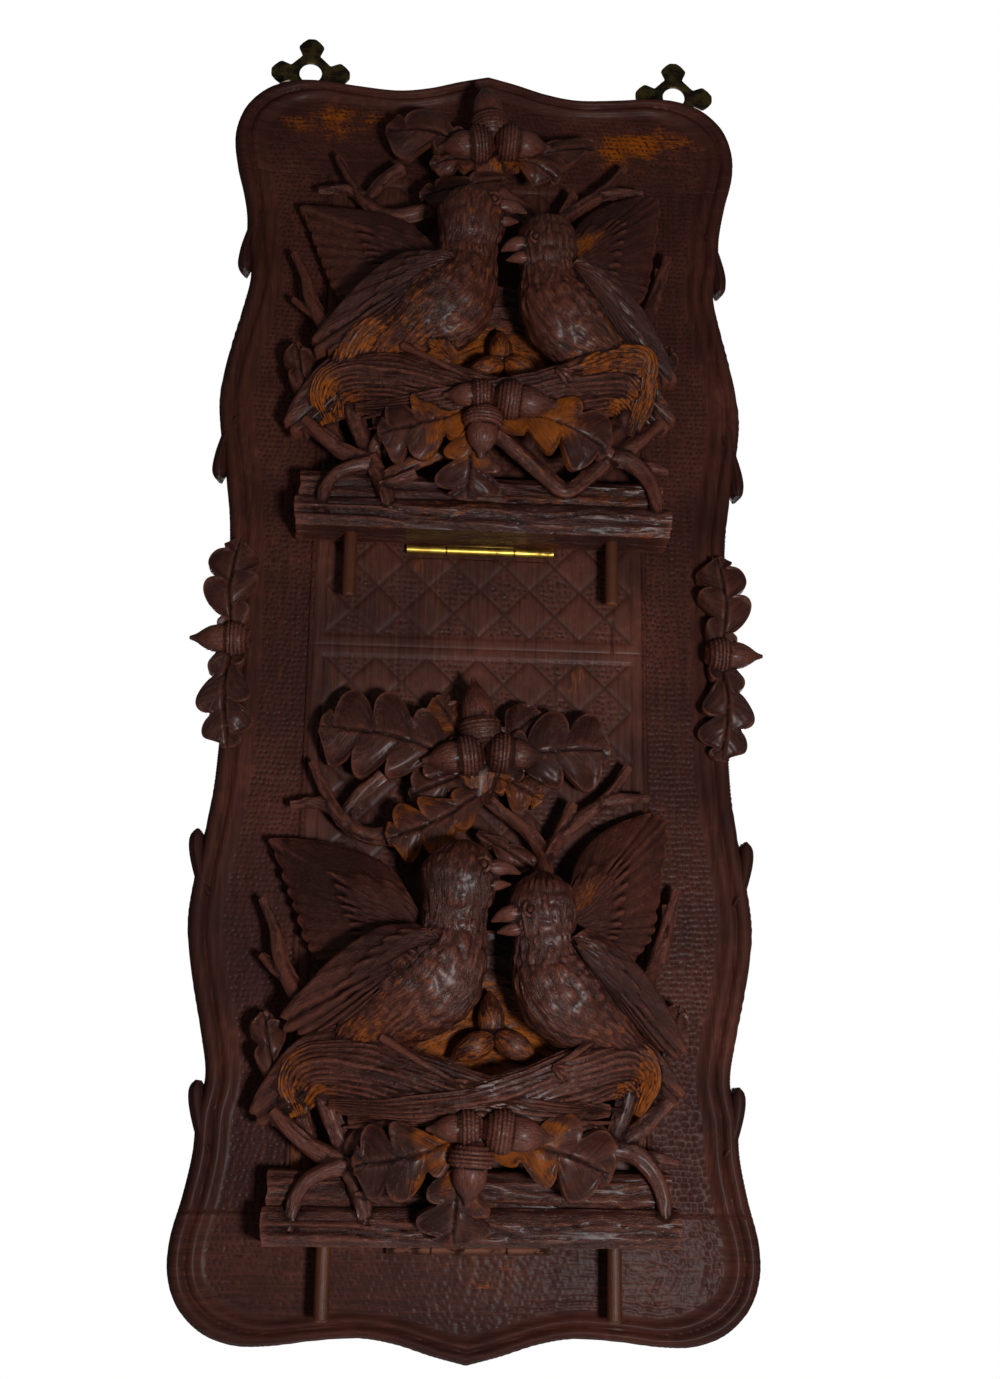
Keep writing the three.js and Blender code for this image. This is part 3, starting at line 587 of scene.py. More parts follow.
LOOSE_STRAWS = [
    [[-30, 76, 48], [-58, 74, 39], [-78, 74, 28]],
    [[-28, 71, 47], [-54, 68, 39], [-72, 67, 28]],
    [[-26, 67, 46], [-50, 62, 38], [-68, 60, 29]],
    [[-40, 82, 44], [-64, 80, 36], [-84, 80, 26]],
    [[34, 74, 47], [60, 71, 37], [82, 71, 26]],
    [[30, 70, 46], [54, 64, 38], [74, 64, 28]],
    [[-20, 72, 51], [4, 68, 52], [32, 69, 49]],
    [[-42, 91, 46], [-10, 83, 51], [26, 74, 51]],
    [[46, 88, 47], [18, 81, 52], [-12, 73, 51]],
    [[-66, 97, 40], [-36, 92, 47], [4, 81, 52]],
    [[66, 99, 41], [36, 88, 48], [2, 77, 52]],
]
WALL_FOOT, WALL_HEIGHT, WALL_HALF = 74, 92, 52


def nest_wall(rows=92, columns=64):
    """The hollow wall behind the eggs, with strands that follow its curve."""
    u, v = np.linspace(0, 1, rows)[:, None], np.linspace(-1, 1, columns)[None]
    half = WALL_HALF - 30 * u**2
    x = 8 + v * half
    z = WALL_FOOT + WALL_HEIGHT * u - 10 * v**2
    bend = u + 0.16 * v**2 + 0.05 * ripple(3 * v, 6 * u, 2.0)
    strands = np.abs(2 * ripple(22 * bend, 2.2 * v, 5.0) - 1) ** 0.6
    d = 12 + 7 * v**2 * (1 - 0.4 * u) - 3 * u + 2.2 * strands + 0.9 * ripple(50 * bend, 5 * v, 6.0)
    front = to_space(np.stack(np.broadcast_arrays(x, z, np.maximum(d, 9.0)), -1))
    rear = to_space(np.stack(np.broadcast_arrays(x, z, CARVING_BACK), -1))
    flow = np.stack(np.broadcast_arrays(v * half, WALL_HEIGHT * bend, 3.0), -1)
    return plate(front, rear, flow, 0.72 * smooth(0.9, 0.5, u) + 0.1 + 0 * v)


EGGS = [
    [[9, 102, 18], [9, 117, 21], [8, 133, 18]],
    [[-13, 96, 24], [1, 103, 27], [13, 109, 22]],
    [[34, 96, 24], [20, 104, 27], [8, 110, 22]],
]
at_ends = lambda t, angle: 0.8 * smooth(0.40, 0.08, t) + 0.12 + 0 * angle
nest_skins = [nest_wall()]
for number, (path, wide) in enumerate(BUNDLES):
    lay = straw(0.9 if number % 2 else -0.9, 3.0 + number)
    nest_skins.append(limb(path, wide, 0.8 * np.array(wide), sides=64, steps=72, relief=lay, raw=at_ends))
nest_skins += [limb(path, [1.6, 1.9, 0.7], sides=8, steps=24, raw=0.25) for path in LOOSE_STRAWS]
nest_skins += [egg(path) for path in EGGS]
print("nest", len(nest_skins), "skins")

# %% [markdown]
# The birds are one spine each, from the rump to the crown, with the girth given along it. Sculpting by hand
# would be freer, but a girth can be measured and changed. The relief lays soft tufts on the breast and
# short strokes all over. The raised wing, the folded wing and the tail are fans.

# %% Plumage
def plumage(seed):
    """Soft tufts on the breast, and short uneven strokes all over."""
    def relief(along, around, t):
        row = along / 9.0 + 0.9 * ripple(along / 15, around / 11, seed + 1)
        column = around / 9.5 + 0.5 * np.floor(row) + 0.6 * ripple(along / 18, around / 14, seed)
        tuft = np.sin(np.pi * (row % 1.0)) ** 0.7 * np.cos(np.pi * (column % 1.0 - 0.5))
        breast = smooth(0.1, 0.25, t) * smooth(0.62, 0.48, t)
        wander = 1.7 * ripple(along / 10, around / 8, seed + 2)
        strokes = np.abs(2 * ripple(around / 2.8 + wander, along / 6.5, seed + 3) - 1) ** 0.7 - 0.5
        return 0.9 * (tuft - 0.5) * breast + 1.3 * strokes

    return relief


UPPER_BEAK, LOWER_BEAK = [6.4, 5.0, 3.6, 0.6], [5.4, 4.0, 2.7, 0.5]
EYE_RADIUS, EYE_RING = 2.1, 1.75


def beak(upper, lower):
    return [
        limb(upper, UPPER_BEAK, sides=14, steps=18),
        limb(lower, LOWER_BEAK, sides=14, steps=18, raw=0.2),
    ]


def eye(place):
    """A round bead in a raised ring of four arcs."""
    x, z, d = place
    line = [[x, z, d - EYE_RADIUS], [x, z, d], [x + 0.01, z, d + EYE_RADIUS]]
    skins = [limb(line, [0.3, EYE_RADIUS, 0.3], sides=16, steps=12)]
    turn = np.linspace(0, 2 * np.pi, 25)[:-1]
    reach = EYE_RING * EYE_RADIUS
    ring = np.stack([x + reach * np.cos(turn), z + reach * np.sin(turn), 0 * turn + d - 0.4], 1)
    for first in range(0, 24, 6):
        arc = ring[np.arange(first, first + 8) % 24]
        skins.append(limb(arc, [1.0] * 8, sides=8, steps=10))
    return skins


print("an eye with its ring is", 2 * EYE_RING * EYE_RADIUS, "mm wide")

# %% The left bird
TOES = np.array([[9, -5, -1], [6, -8, -2], [10, 0, -1]])
FOLDED_COVERTS, TAIL_COVERTS, RAISED_COVERTS = (0.66, 0.46, 0.28), (0.4,), (0.62, 0.48, 0.34, 0.2)
RAISED_WING = dict(coverts=RAISED_COVERTS, bulge=6, rise=0.38, cut=0.04, columns=84)
RAISED_FEATHERS = 12
TAIL = dict(coverts=TAIL_COVERTS, thick=10, bulge=2, rows=44, columns=48)


def leg(path):
    """A thin leg that reaches over the nest, with three toes."""
    path = np.asarray(path, float)
    foot = path[-1]
    skins = [limb(path, [2.6, 1.7, 1.6], sides=10, steps=20)]
    for toe in foot + TOES:
        skins.append(limb([foot, (foot + toe) / 2 + [0, 0, 1.5], toe], [1.5, 1.4, 0.5], sides=8, steps=12))
    return skins


left_bird = [limb(
    [[-74, 98, 24], [-62, 109, 30], [-48, 119, 35], [-35, 129, 39], [-24, 138, 41], [-17.5, 148, 42],
     [-14.5, 158, 42.5], [-13.5, 166, 43], [-12.5, 175, 44], [-11.5, 184, 45.5], [-10.5, 193, 46],
     [-10, 201, 45.5], [-10, 207, 45], [-10, 211, 44.5]],
    [6, 14, 21, 26, 27.5, 23.5, 19.5, 17.6, 18, 20, 20.8, 17.5, 11.5, 1.5],
    [6, 11, 16, 20, 21.5, 20.5, 18, 16.5, 17, 18.8, 19.5, 17, 11, 1.5],
    sides=128, steps=128, relief=plumage(31.0),
    raw=lambda t, angle: 0.30 + 0.16 * smooth(0.35, 0.1, t) + 0 * angle,
)]
left_bird += beak(
    [[-3, 194, 51], [6, 195, 54], [14, 195, 54], [21.5, 192.5, 52.5]],
    [[-3, 186, 50], [5, 186, 53], [11, 186.3, 53], [16.5, 186.8, 52]],
)
left_bird += eye([1, 196, 61.8])
left_bird += leg([[-50, 106, 46], [-32, 95, 52], [-12, 84, 53]])
left_bird.append(fan(
    [-20, 157, 55], [[-34, 165, 52], [-52, 163.5, 50], [-66, 156, 47], [-78, 146.5, 42], [-90, 134, 36]],
    [[-104, 118, 28], [-102, 109, 28], [-93, 107, 32], [-82, 109, 37], [-71, 113, 42], [-60, 120, 46],
     [-50, 129, 50], [-40, 141, 53]],
    FOLDED_COVERTS, thick=14, bulge=5, rows=58, columns=66,
))
left_bird.append(fan(
    [-56, 112, 32], [[-82, 113, 29], [-99, 101, 26], [-111, 85, 23]],
    [[-119, 68, 19], [-114, 60, 19], [-105, 60, 20], [-96, 69, 22], [-86, 81, 25], [-70, 92, 29]],
    raw=0.2, **TAIL,
))
left_bird.append(fan(
    [-26, 162, 34], [[-36, 180, 30], [-46, 196.5, 26], [-64, 207, 20], [-88, 213.5, 14]],
    between([[-115.5, 214.5, 12], [-107, 191, 12], [-100, 174, 12], [-93, 156, 14], [-82, 144.5, 17],
             [-64, 138, 22]], RAISED_FEATHERS),
    raw=lambda u, s: 0.5 * smooth(0.6, 0.3, u) * smooth(0.5, 0.7, s), **RAISED_WING,
))
print("left bird", len(left_bird), "skins")

# %% The right bird
right_bird = [limb(
    [[92, 98, 22], [80, 106, 28], [68, 114, 33], [56, 121, 37], [47, 129, 40], [41, 138, 41.5],
     [38, 147, 42], [36.5, 155, 43], [35.5, 162, 44], [34.5, 169, 45.5], [34, 176, 46], [33.8, 184, 46],
     [33.7, 190, 45.5], [33.7, 195.5, 45]],
    [5, 11, 17, 22, 24.5, 23, 20.5, 18.2, 17.4, 18, 18.7, 16.5, 11.5, 1.5],
    [5, 11, 15, 19, 20.5, 20, 18, 16.5, 16.5, 17, 17.5, 16, 11, 1.5],
    sides=120, steps=124, relief=plumage(57.0),
    raw=lambda t, angle: 0.27 + 0.12 * smooth(0.35, 0.1, t) + 0 * angle,
)]
right_bird += beak(
    [[25, 171.5, 51], [17, 171, 54], [11.5, 169.5, 54], [6.3, 166.6, 52.5]],
    [[26, 164.5, 50], [19, 163, 53], [14, 162, 53], [9.4, 161, 52]],
)
right_bird += eye([26.7, 173, 61.2])
right_bird += leg([[60, 106, 45], [50, 98, 50], [40, 92, 52]])
right_bird.append(fan(
    [48, 158, 53], [[58, 165, 49], [76, 155, 47], [92, 140, 42], [106, 121, 34]],
    [[116, 102, 26], [109, 98, 29], [100, 102, 33], [90, 110, 38], [80, 119, 43], [70, 129, 47],
     [60, 140, 51]],
    FOLDED_COVERTS, thick=14, bulge=5, rows=58, columns=62,
))
right_bird.append(fan(
    [64, 114, 32], [[88, 112, 29], [102, 99, 26]],
    [[116, 80, 18], [111, 72, 18], [103, 69, 19], [94, 73, 21], [85, 82, 24], [74, 94, 28]],
    raw=0.35, **TAIL,
))
right_bird.append(fan(
    [44, 162, 34], [[51, 184, 30], [53, 198, 25], [61, 213, 18], [75, 225, 14]],
    between([[97, 234.5, 12], [109.5, 230, 12], [107, 205, 12], [103, 178, 12], [99, 163, 14], [88, 150, 20]],
            RAISED_FEATHERS),
    raw=lambda u, s: 0.6 * smooth(0.75, 0.3, u) * smooth(0.7, 0.2, s), **RAISED_WING,
))
print("right bird", len(right_bird), "skins")

# %% [markdown]
# Sprays of oak leaves and acorns grow below the nest and above the birds, and forked twigs stand where the
# carver pierced the board. The sprays sit at other heights on the upper front than on the lower one, so
# each is a function of its rise. At the stems, the stain has worn off in uneven spots.

# %% Oak leaves, acorns and twigs
SMALL_LEAF = dict(lobes=2, rows=36, columns=21)
nest_leaves = [
    oak_leaf([0, 219, 20], [32, 199, 20], 9, lift=3, **SMALL_LEAF),
    oak_leaf([-105, 78, 18], [-114, 119, 13], 11, lift=2, **SMALL_LEAF),
    oak_leaf([103, 98, 24], [113, 126, 14], 9, lift=2, **SMALL_LEAF),
]


def at_stem(share):
    """Raw wood near a leaf's stem, in uneven spots."""
    spots = lambda u, v: 0.2 + 1.5 * ripple(8 * u + 9 * share, 5 * v, 4.0)
    return lambda u, v: share * smooth(0.95, 0.15, u) * spots(u, v)


def raised(path, rise):
    return np.asarray(path, float) + [0, rise, 0]


FOOT_ACORNS = [
    ([2, 61, 56], [-26, 60, 56], 7.2), ([5, 60, 55], [40, 56, 56], 9.2), ([-2, 53, 55], [-4, 22, 55], 9.2),
]
CROWN_ACORNS = [
    ([1.6, 268, 24], [-4, 308, 23], 9.6), ([1, 263, 27], [-32, 258, 27], 9.2),
    ([5, 264, 27], [38, 262, 27], 9.0),
]


def stalk_knot(path, wide, raw):
    return limb(path, wide, [6, 7, 6], sides=16, steps=14, raw=raw)


def foot_spray(rise, bare):
    """Three leaves and three acorns round a stalk below the nest. Bare says how worn the leaves are."""
    at = lambda *place: raised(place, rise)
    skins = [
        stalk_knot([at(0, 44, 46), at(0, 56, 48), at(0, 68, 45)], [7, 10, 7], bare),
        oak_leaf(at(-3, 56, 47), at(-10, 3, 38), 26, lift=6, bow=-2, full=0.9, raw=at_stem(0.9 * bare)),
        oak_leaf(at(-4, 57, 46), at(-62, 41, 38), 23, lift=6, bow=3, raw=at_stem(0.8 * bare)),
        oak_leaf(at(5, 54, 46), at(72, 38, 37), 24, lift=6, bow=4, raw=at_stem(bare)),
    ]
    for stalk, tip, radius in FOOT_ACORNS:
        skins += acorn(raised(stalk, rise), raised(tip, rise), radius)
    return skins


WING_TWIGS = [
    ([[-86, 116, 30], [-98, 132, 20], [-107, 150, 15], [-110, 164, 13], [-118, 181, 12]],
     [5, 4.6, 4, 3.4, 1.8]),
    ([[-100, 135, 18], [-108, 142, 15], [-117, 150, 12]], [3.6, 3.2, 1.8]),
    ([[84, 122, 32], [97, 142, 20], [105, 162, 15], [109, 176, 13], [114, 191, 12]], [5, 4.6, 4, 3.4, 1.8]),
    ([[101, 152, 17], [107, 168, 14], [107, 182, 12]], [3.4, 3, 1.6]),
]
CROWN_TWIGS = [
    ([[-36, 222, 15], [-50, 217, 15], [-64, 218, 14], [-76, 227, 13], [-84, 239, 12], [-94, 259, 10]],
     [5, 5, 4.6, 4.2, 3.6, 2]),
    ([[-76, 229, 13], [-84, 234, 12], [-92, 235.5, 11], [-105, 234, 10]], [3.8, 3.6, 3.2, 2]),
    ([[-54, 252, 12], [-66, 241, 12], [-74, 229, 12]], [4, 4, 4]),
    ([[36, 180, 38], [37.5, 198, 27], [36, 210, 19], [28, 222, 16], [12, 234, 14], [0, 246, 14]],
     [5, 4.2, 4, 3.8, 3.8, 5]),
    ([[37.5, 204, 22], [46, 218, 16], [58, 229, 14], [74, 243, 12], [87, 261, 10]],
     [4.4, 4.2, 4, 3.6, 2.2]),
    ([[70, 239, 13], [82, 242, 12], [98, 243.5, 10]], [3.6, 3.2, 2.2]),
    ([[45, 217, 16], [50, 228, 15], [54, 238, 14]], [4, 3.6, 3]),
]
TWIG_BARK = 1.3


def twig(path, wide, raw=0.0):
    return limb(path, wide, sides=18, steps=40, relief=bark(TWIG_BARK), raw=raw)


def crown_spray(rise):
    """Three acorns round a stalk above the birds, and the forked twigs beside them."""
    skins = [stalk_knot(raised([[0, 238, 15], [0, 254, 18], [0, 268, 20]], rise), [7, 12, 9], 0.5)]
    for stalk, tip, radius in CROWN_ACORNS:
        skins += acorn(raised(stalk, rise), raised(tip, rise), radius)
    return skins + [twig(raised(path, rise), wide) for path, wide in CROWN_TWIGS]


twig_skins = [twig(path, wide) for path, wide in WING_TWIGS]
print("twigs", len(twig_skins), "skins beside the wings")

# %% [markdown]
# Each front now gets its own leaves. The upper one also has two inner roots and two loose ends of straw.
# All forms are then welded. The raw wood rides along as a number at every point, so one factor for each
# front is enough to say that the lower carving has kept more of its stain.

# %% The leaves of each front
CROWN_LEAF = dict(lobes=2, rows=44, columns=25)
FOOT_RISE, CROWN_RISE = 11.5, -8
upper_scene = foot_spray(FOOT_RISE, 1.0) + crown_spray(CROWN_RISE) + [
    oak_leaf([-2, 250, 16], [-64, 268, 13], 23, lobes=2, lift=8, bow=-3, full=0.8, rows=60, columns=31),
    oak_leaf([5, 250, 16], [68, 265, 13], 11, lobes=2, lift=5, bow=-3, rows=50, columns=25),
    oak_leaf([5, 248, 18], [44, 236, 19], 13, lift=6, bow=2, raw=at_stem(0.5), **CROWN_LEAF),
    oak_leaf([-2, 248, 17], [-36, 242, 18], 11, lift=5, raw=at_stem(0.5), **CROWN_LEAF),
    oak_leaf([10, 235, 18], [-42, 220, 18], 13, lift=6, bow=3, raw=0.1, **CROWN_LEAF),
    limb([[-8, 58, 33], [-22, 49, 30], [-40, 41, 28], [-60, 29, 25]], [5.5, 5.5, 5, 5],
         sides=18, relief=bark(TWIG_BARK), raw=0.4),
    twig([[4, 60, 34], [22, 47, 30], [36, 36, 27], [48, 28, 25], [62, 38, 24], [75, 51, 24]],
         [5, 5, 4.6, 5, 4.6, 5], raw=0.3),
    limb([[-84, 70, 20], [-84, 94, 25], [-73, 114, 31], [-54, 124, 37], [-36, 114, 42], [-20, 100, 44]],
         [4, 9, 12, 12, 9, 4], sides=64, steps=60, relief=straw(0.7, 8.0), raw=0.6),
    limb([[87, 66, 20], [94, 92, 25], [92, 108, 30], [76, 106, 35], [54, 96, 41], [32, 88, 44]],
         [4, 8, 11, 11, 9, 4], sides=64, steps=60, relief=straw(-0.7, 9.0), raw=0.55),
]
worn_edge = lambda u, v: 0.55 * smooth(0.3, 0.9, np.abs(v)) * smooth(0.0, 0.3, u) + 0.25
lower_scene = foot_spray(0, 0.8) + crown_spray(0) + [
    oak_leaf([-2, 256, 16], [-90, 279, 13], 29, lobes=4, lift=6, bow=-4, rows=66, columns=33),
    oak_leaf([5, 257, 16], [75, 270, 13], 27, lobes=3, lift=6, bow=3, rows=60, columns=31),
    oak_leaf([-2, 260, 13], [-25, 298, 11], 15, lift=3, raw=0.5, **CROWN_LEAF),
    oak_leaf([5, 260, 13], [34, 292, 11], 15, lift=3, raw=0.2, **CROWN_LEAF),
    oak_leaf([0, 256, 14], [-38, 240, 13], 15, lift=4, raw=0.3, **CROWN_LEAF),
    oak_leaf([3, 256, 14], [36, 240, 13], 15, lift=4, raw=0.5, **CROWN_LEAF),
    oak_leaf([3, 243, 18], [-50, 214, 20], 20, lift=6, bow=4, raw=worn_edge),
]
print("own skins of the fronts:", len(upper_scene), "upper,", len(lower_scene), "lower")

# %% The two carvings
UPPER_FRONT, LOWER_FRONT, FRONT_BACK = 67, -328, 19
FRONTS = {"upper": UPPER_FRONT, "lower": LOWER_FRONT}
shared_skins = log_skins + root_skins + nest_skins + left_bird + right_bird + twig_skins + nest_leaves
for name, scene, show_raw in [("upper", upper_scene, 1.0), ("lower", lower_scene, 0.85)]:
    mesh = carve_as_one(f"{name}_carving", shared_skins + scene)
    mesh.transform(Matrix.Translation(Vector((0, -FRONT_BACK, FRONTS[name])) * MM))
    values = np.empty(len(mesh.vertices), np.float32)
    mesh.attributes["raw"].data.foreach_get("value", values)
    mesh.attributes["raw"].data.foreach_set("value", values * show_raw)
    carving = put(f"{name}_carved_front", mesh)
    print(carving.name, triangles(mesh), "triangles")
    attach(carving, f"{name}_front")
    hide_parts(f"{name}_carving")
    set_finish(carving, "carved_walnut")

# %% [markdown]
# ## The backboard
# The board is a frame of two rails and two stiles round two panels. Its waved edge carries a moulding: a
# round rim, a groove and a bead that falls to a punched ground. A board is a grid of points stretched
# between its own four sides. The depth of each point follows from its distance to the waved edge, so the
# moulding keeps its width round every bend.

# %% The waved edge
EDGE = [
    [147, 0], [149, 70], [153, 105], [158, 135], [160, 160], [156, 188], [149, 220], [145.5, 242],
    [149, 262], [150, 283], [154, 305], [159, 325], [160, 342], [156, 357], [148, 368], [137, 376],
    [122, 380.5], [104, 380.5], [82, 378], [58, 376.5], [38, 379.5], [18, 385.5], [0, 390],
]
EDGE_POINTS = 1600
half_edge = np.asarray(EDGE[:0:-1] + [[x, -z] for x, z in EDGE], float)
right_edge = spline(half_edge, np.linspace(0, 1, EDGE_POINTS))
whole_edge = np.vstack([right_edge, right_edge[::-1] * [-1, 1]])
BATCH, EDGE_REACH = 1500, 60


def edge_distance(x, z):
    """How far points of the board lie from its waved edge."""
    points = np.stack([x.ravel(), z.ravel()], 1)
    far = np.empty(len(points))
    for start in range(0, len(points), BATCH):
        part = points[start:start + BATCH]
        near = whole_edge[np.abs(whole_edge[:, 1] - part[:, 1].mean()) < np.ptp(part[:, 1]) + EDGE_REACH]
        far[start:start + BATCH] = np.sqrt(((part[:, None] - near[None]) ** 2).sum(-1).min(1))
    return far.reshape(x.shape)


def edge_x(z):
    order = np.argsort(right_edge[:, 1])
    return np.interp(z, right_edge[order, 1], right_edge[order, 0])


print("the board is", 2 * right_edge[:, 0].max(), "mm wide and", np.ptp(right_edge[:, 1]), "mm high")

# %% The moulded and punched face
RAIL_JOINT, JOINT_GROOVE = 313, 0.5
GROUND, MOULDING_WIDTH = 16, 20
MOULDING = np.array([
    [0, 12.5], [0.8, 15.6], [1.8, 17.8], [3.2, 19.3], [5, 20], [6.6, 19.8], [8, 18.9], [8.9, 17.6],
    [9.6, 17.0], [10.4, 17.4], [11.4, 18.3], [12.8, 18.8], [14.2, 18.7], [15.6, 18.0], [17, 17.0],
    [18.4, 16.3], [MOULDING_WIDTH, GROUND],
])
PUNCH_PITCH, PUNCH_DEPTH, PUNCH_LEAN = 3.2, 0.6, 0.37


def punched(x, z, seed=1.0):
    """Dents of a round punch, in uneven rows, from 0 to 1."""
    row = np.round(z / PUNCH_PITCH)
    column = np.round(x / PUNCH_PITCH + PUNCH_LEAN * row)
    jitter = lambda shift: ripple(column * 0.97 + 0.31, row * 0.93 + 0.17, seed + shift) - 0.5
    across = x / PUNCH_PITCH + PUNCH_LEAN * row - column - 0.7 * jitter(0)
    down = z / PUNCH_PITCH - row - 0.7 * jitter(9)
    return smooth(0.40, 0.14, np.hypot(across, down)) * (0.6 + 0.8 * (jitter(5) + 0.5))


def board_depth(x, z, narrow=1.0):
    """The depth of the board's face, and how deeply it is dented."""
    far = edge_distance(x, z) / narrow
    dent = smooth(19.5, 21.5, far) * punched(x, z)
    depth = np.interp(far, MOULDING[:, 0], MOULDING[:, 1])
    depth = depth - JOINT_GROOVE * smooth(0.9, 0.0, np.abs(np.abs(z) - RAIL_JOINT))
    fibres = 0.12 * ripple(x / 1.6, z / 40, 3.0) * (far < MOULDING_WIDTH)
    return depth - PUNCH_DEPTH * dent + fibres, dent


print("the moulding is", MOULDING_WIDTH, "mm wide and stands", MOULDING[:, 1].max() - GROUND, "mm proud")

# %% [markdown]
# A stile is the upright board at each side of the panels, with a bead along its inner edge and two pairs of
# scroll tips on its outer one. The tips could be cut from the same grid, but they overhang the edge, so
# they are short limbs welded to the slab. The left stile is the right one mirrored.

# %% Stiles with their scroll tips
PANEL_HALF, GAP = 97, 0.02
STILE_ROWS, STILE_STEP = 783, 0.0165
BEAD_HALF, BEAD_HEIGHT, BEAD_WIDTH = 1.7, 1.3, 3.3
# For each pair of scroll tips: its height above and below the waist, and its place on the edge.
SCROLLS = [[106, 152.5], [244, 144.5]]
SCROLL_PATH = [[-4, 38], [0.5, 30], [3.2, 20], [4.8, 11], [5.0, 4.6], [4.6, 0.6]]
SCROLL_WIDE, SCROLL_DEEP = [2.6, 3.6, 4.4, 4.8, 4.4, 1.6], [9.4, 9.4, 9.3, 9.3, 9.0, 7.4]
SCROLL_MIDDLE = 10.4


def fine_steps(length, fine_width, fine, coarse):
    """Places from 0 to length, close together over the first width and wider apart after it."""
    near = np.arange(0, fine_width, fine)
    rest = np.linspace(fine_width, length, max(2, int(round((length - fine_width) / coarse)) + 1))
    return np.concatenate([near, rest])


def scroll(height, root, up):
    """A curled tip on the edge of the board, pointing towards the waist."""
    path = [[root + x, up * (height + z), SCROLL_MIDDLE] for x, z in SCROLL_PATH]
    seam = lambda along, around, t: -0.9 * np.exp(-(np.sin(around / 3.5) / 0.25) ** 2) * smooth(0, 0.2, t)
    return limb(path, SCROLL_WIDE, SCROLL_DEEP, sides=28, steps=30, relief=seam, back=0.0)


def right_stile():
    inner = PANEL_HALF + GAP
    z = np.linspace(-RAIL_JOINT + GAP, RAIL_JOINT - GAP, STILE_ROWS)
    share = fine_steps(1.0, 0.42, STILE_STEP, STILE_STEP)[None]
    outer = edge_x(z)[:, None]
    x = outer + (inner - outer) * share
    z = z[:, None] + 0 * x
    depth, dent = board_depth(x, z)
    from_inner = x - inner
    bead = GROUND + BEAD_HEIGHT * np.sqrt(np.clip(1 - ((from_inner - 1.6) / BEAD_HALF) ** 2, 0, 1))
    depth = np.where(from_inner < BEAD_WIDTH, bead, depth)
    raw = 0.28 * smooth(0.62, 0.8, ripple(x / 22, z / 46, 4.0)) * smooth(0, 300, -z + 100)
    skins = [slab(to_space(np.stack([x, z, depth], -1)), 0.0, raw, dent)]
    return skins + [scroll(height, root, up) for height, root in SCROLLS for up in (-1, 1)]


stile_skins = right_stile()
for name, skins in [("right", stile_skins), ("left", [skin.mirrored() for skin in stile_skins])]:
    stile = put(f"{name}_moulded_stile", carve_as_one(f"{name}_stile", skins))
    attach(stile, "back")
    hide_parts(f"{name}_stile")
    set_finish(stile, "board_walnut")

# %% [markdown]
# The rails close the frame above and below. Their corners are round and their outer edge is waved, so a
# plain grid would not fit. Instead, a patch is blended from its four sides: the straight joint, the two
# ends and the wave. On the top rail the stain has rubbed off in two places. Low on the bottom rail, one
# faint orange place is a painted highlight.

# %% Rails
RAIL_CORNER = [150, 366]
corner_row = int(np.argmin(np.hypot(*(right_edge - RAIL_CORNER).T)))
joint_row = int(np.argmin(np.abs(right_edge[:, 1] - RAIL_JOINT - GAP)))


def along_edge(points, share):
    """Points at even shares of the length of a line."""
    lengths = np.concatenate([[0], np.cumsum(np.linalg.norm(np.diff(points, axis=0), axis=1))])
    return np.stack([np.interp(share * lengths[-1], lengths, points[:, axis]) for axis in (0, 1)], -1)


# For each place: how far right and up it lies, its half width and half height, and its strength. The top
# rail's places are rubbed ones, and the bottom rail's place is a painted highlight.
RUBBED_AND_HIGHLIT = {
    1: [(96, 345, 42, 17, 0.85), (-98, 350, 40, 16, 0.68)],
    -1: [(0, 348, 80, 22, 0.323)],
}


def rail(up):
    """A rail as a patch stretched between its joint, its two rounded ends and its waved edge."""
    end = right_edge[corner_row:joint_row + 1][::-1]
    end[0] = [edge_x(RAIL_JOINT + GAP), RAIL_JOINT + GAP]
    crest = np.vstack([right_edge[:corner_row + 1][::-1], right_edge[1:corner_row + 1] * [-1, 1]])[::-1]
    near = fine_steps(0.5, 0.1, 0.0028, 0.0042)
    a = np.concatenate([near, 1 - near[-2::-1]])[:, None, None]
    b = (1 - fine_steps(1.0, 0.34, 0.014, 0.018)[::-1])[None, :, None]
    joint = np.stack([-end[0, 0] + 2 * end[0, 0] * a[:, 0, 0], 0 * a[:, 0, 0] + end[0, 1]], -1)[:, None]
    top = along_edge(crest, a[:, 0, 0])[:, None]
    right = along_edge(end, b[0, :, 0])[None]
    left = right * [-1, 1]
    low, high = end[0], end[-1]
    corners = (1 - a) * (1 - b) * (low * [-1, 1]) + a * (1 - b) * low
    corners = corners + (1 - a) * b * (high * [-1, 1]) + a * b * high
    flat = (1 - a) * left + a * right + (1 - b) * joint + b * top - corners
    x, z = flat[..., 0], flat[..., 1]
    narrow = 1 - 0.3 * smooth(135, 100, np.abs(x)) * smooth(350, 365, z)
    depth, dent = board_depth(x, z, narrow)
    # Rubbed places on the top rail, and a painted highlight on the bottom rail.
    worn_and_highlit = sum(
        strength * np.exp(-((x - right) / wide) ** 2 - ((z - height) / high) ** 2)
        for right, height, wide, high, strength in RUBBED_AND_HIGHLIT[up]
    )
    raw = worn_and_highlit * (0.4 + ripple(x / 14, z / 5, 8.0))
    return slab(to_space(np.stack([x, up * z, depth], -1)), 0.0, raw, dent)


for name, up in [("top", 1), ("bottom", -1)]:
    board = put(f"{name}_moulded_rail", as_mesh(f"{name}_rail", [rail(up)]))
    print(board.name, triangles(board.data), "triangles")
    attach(board, "back")
    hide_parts(f"{name}_rail")
    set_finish(board, "board_walnut")
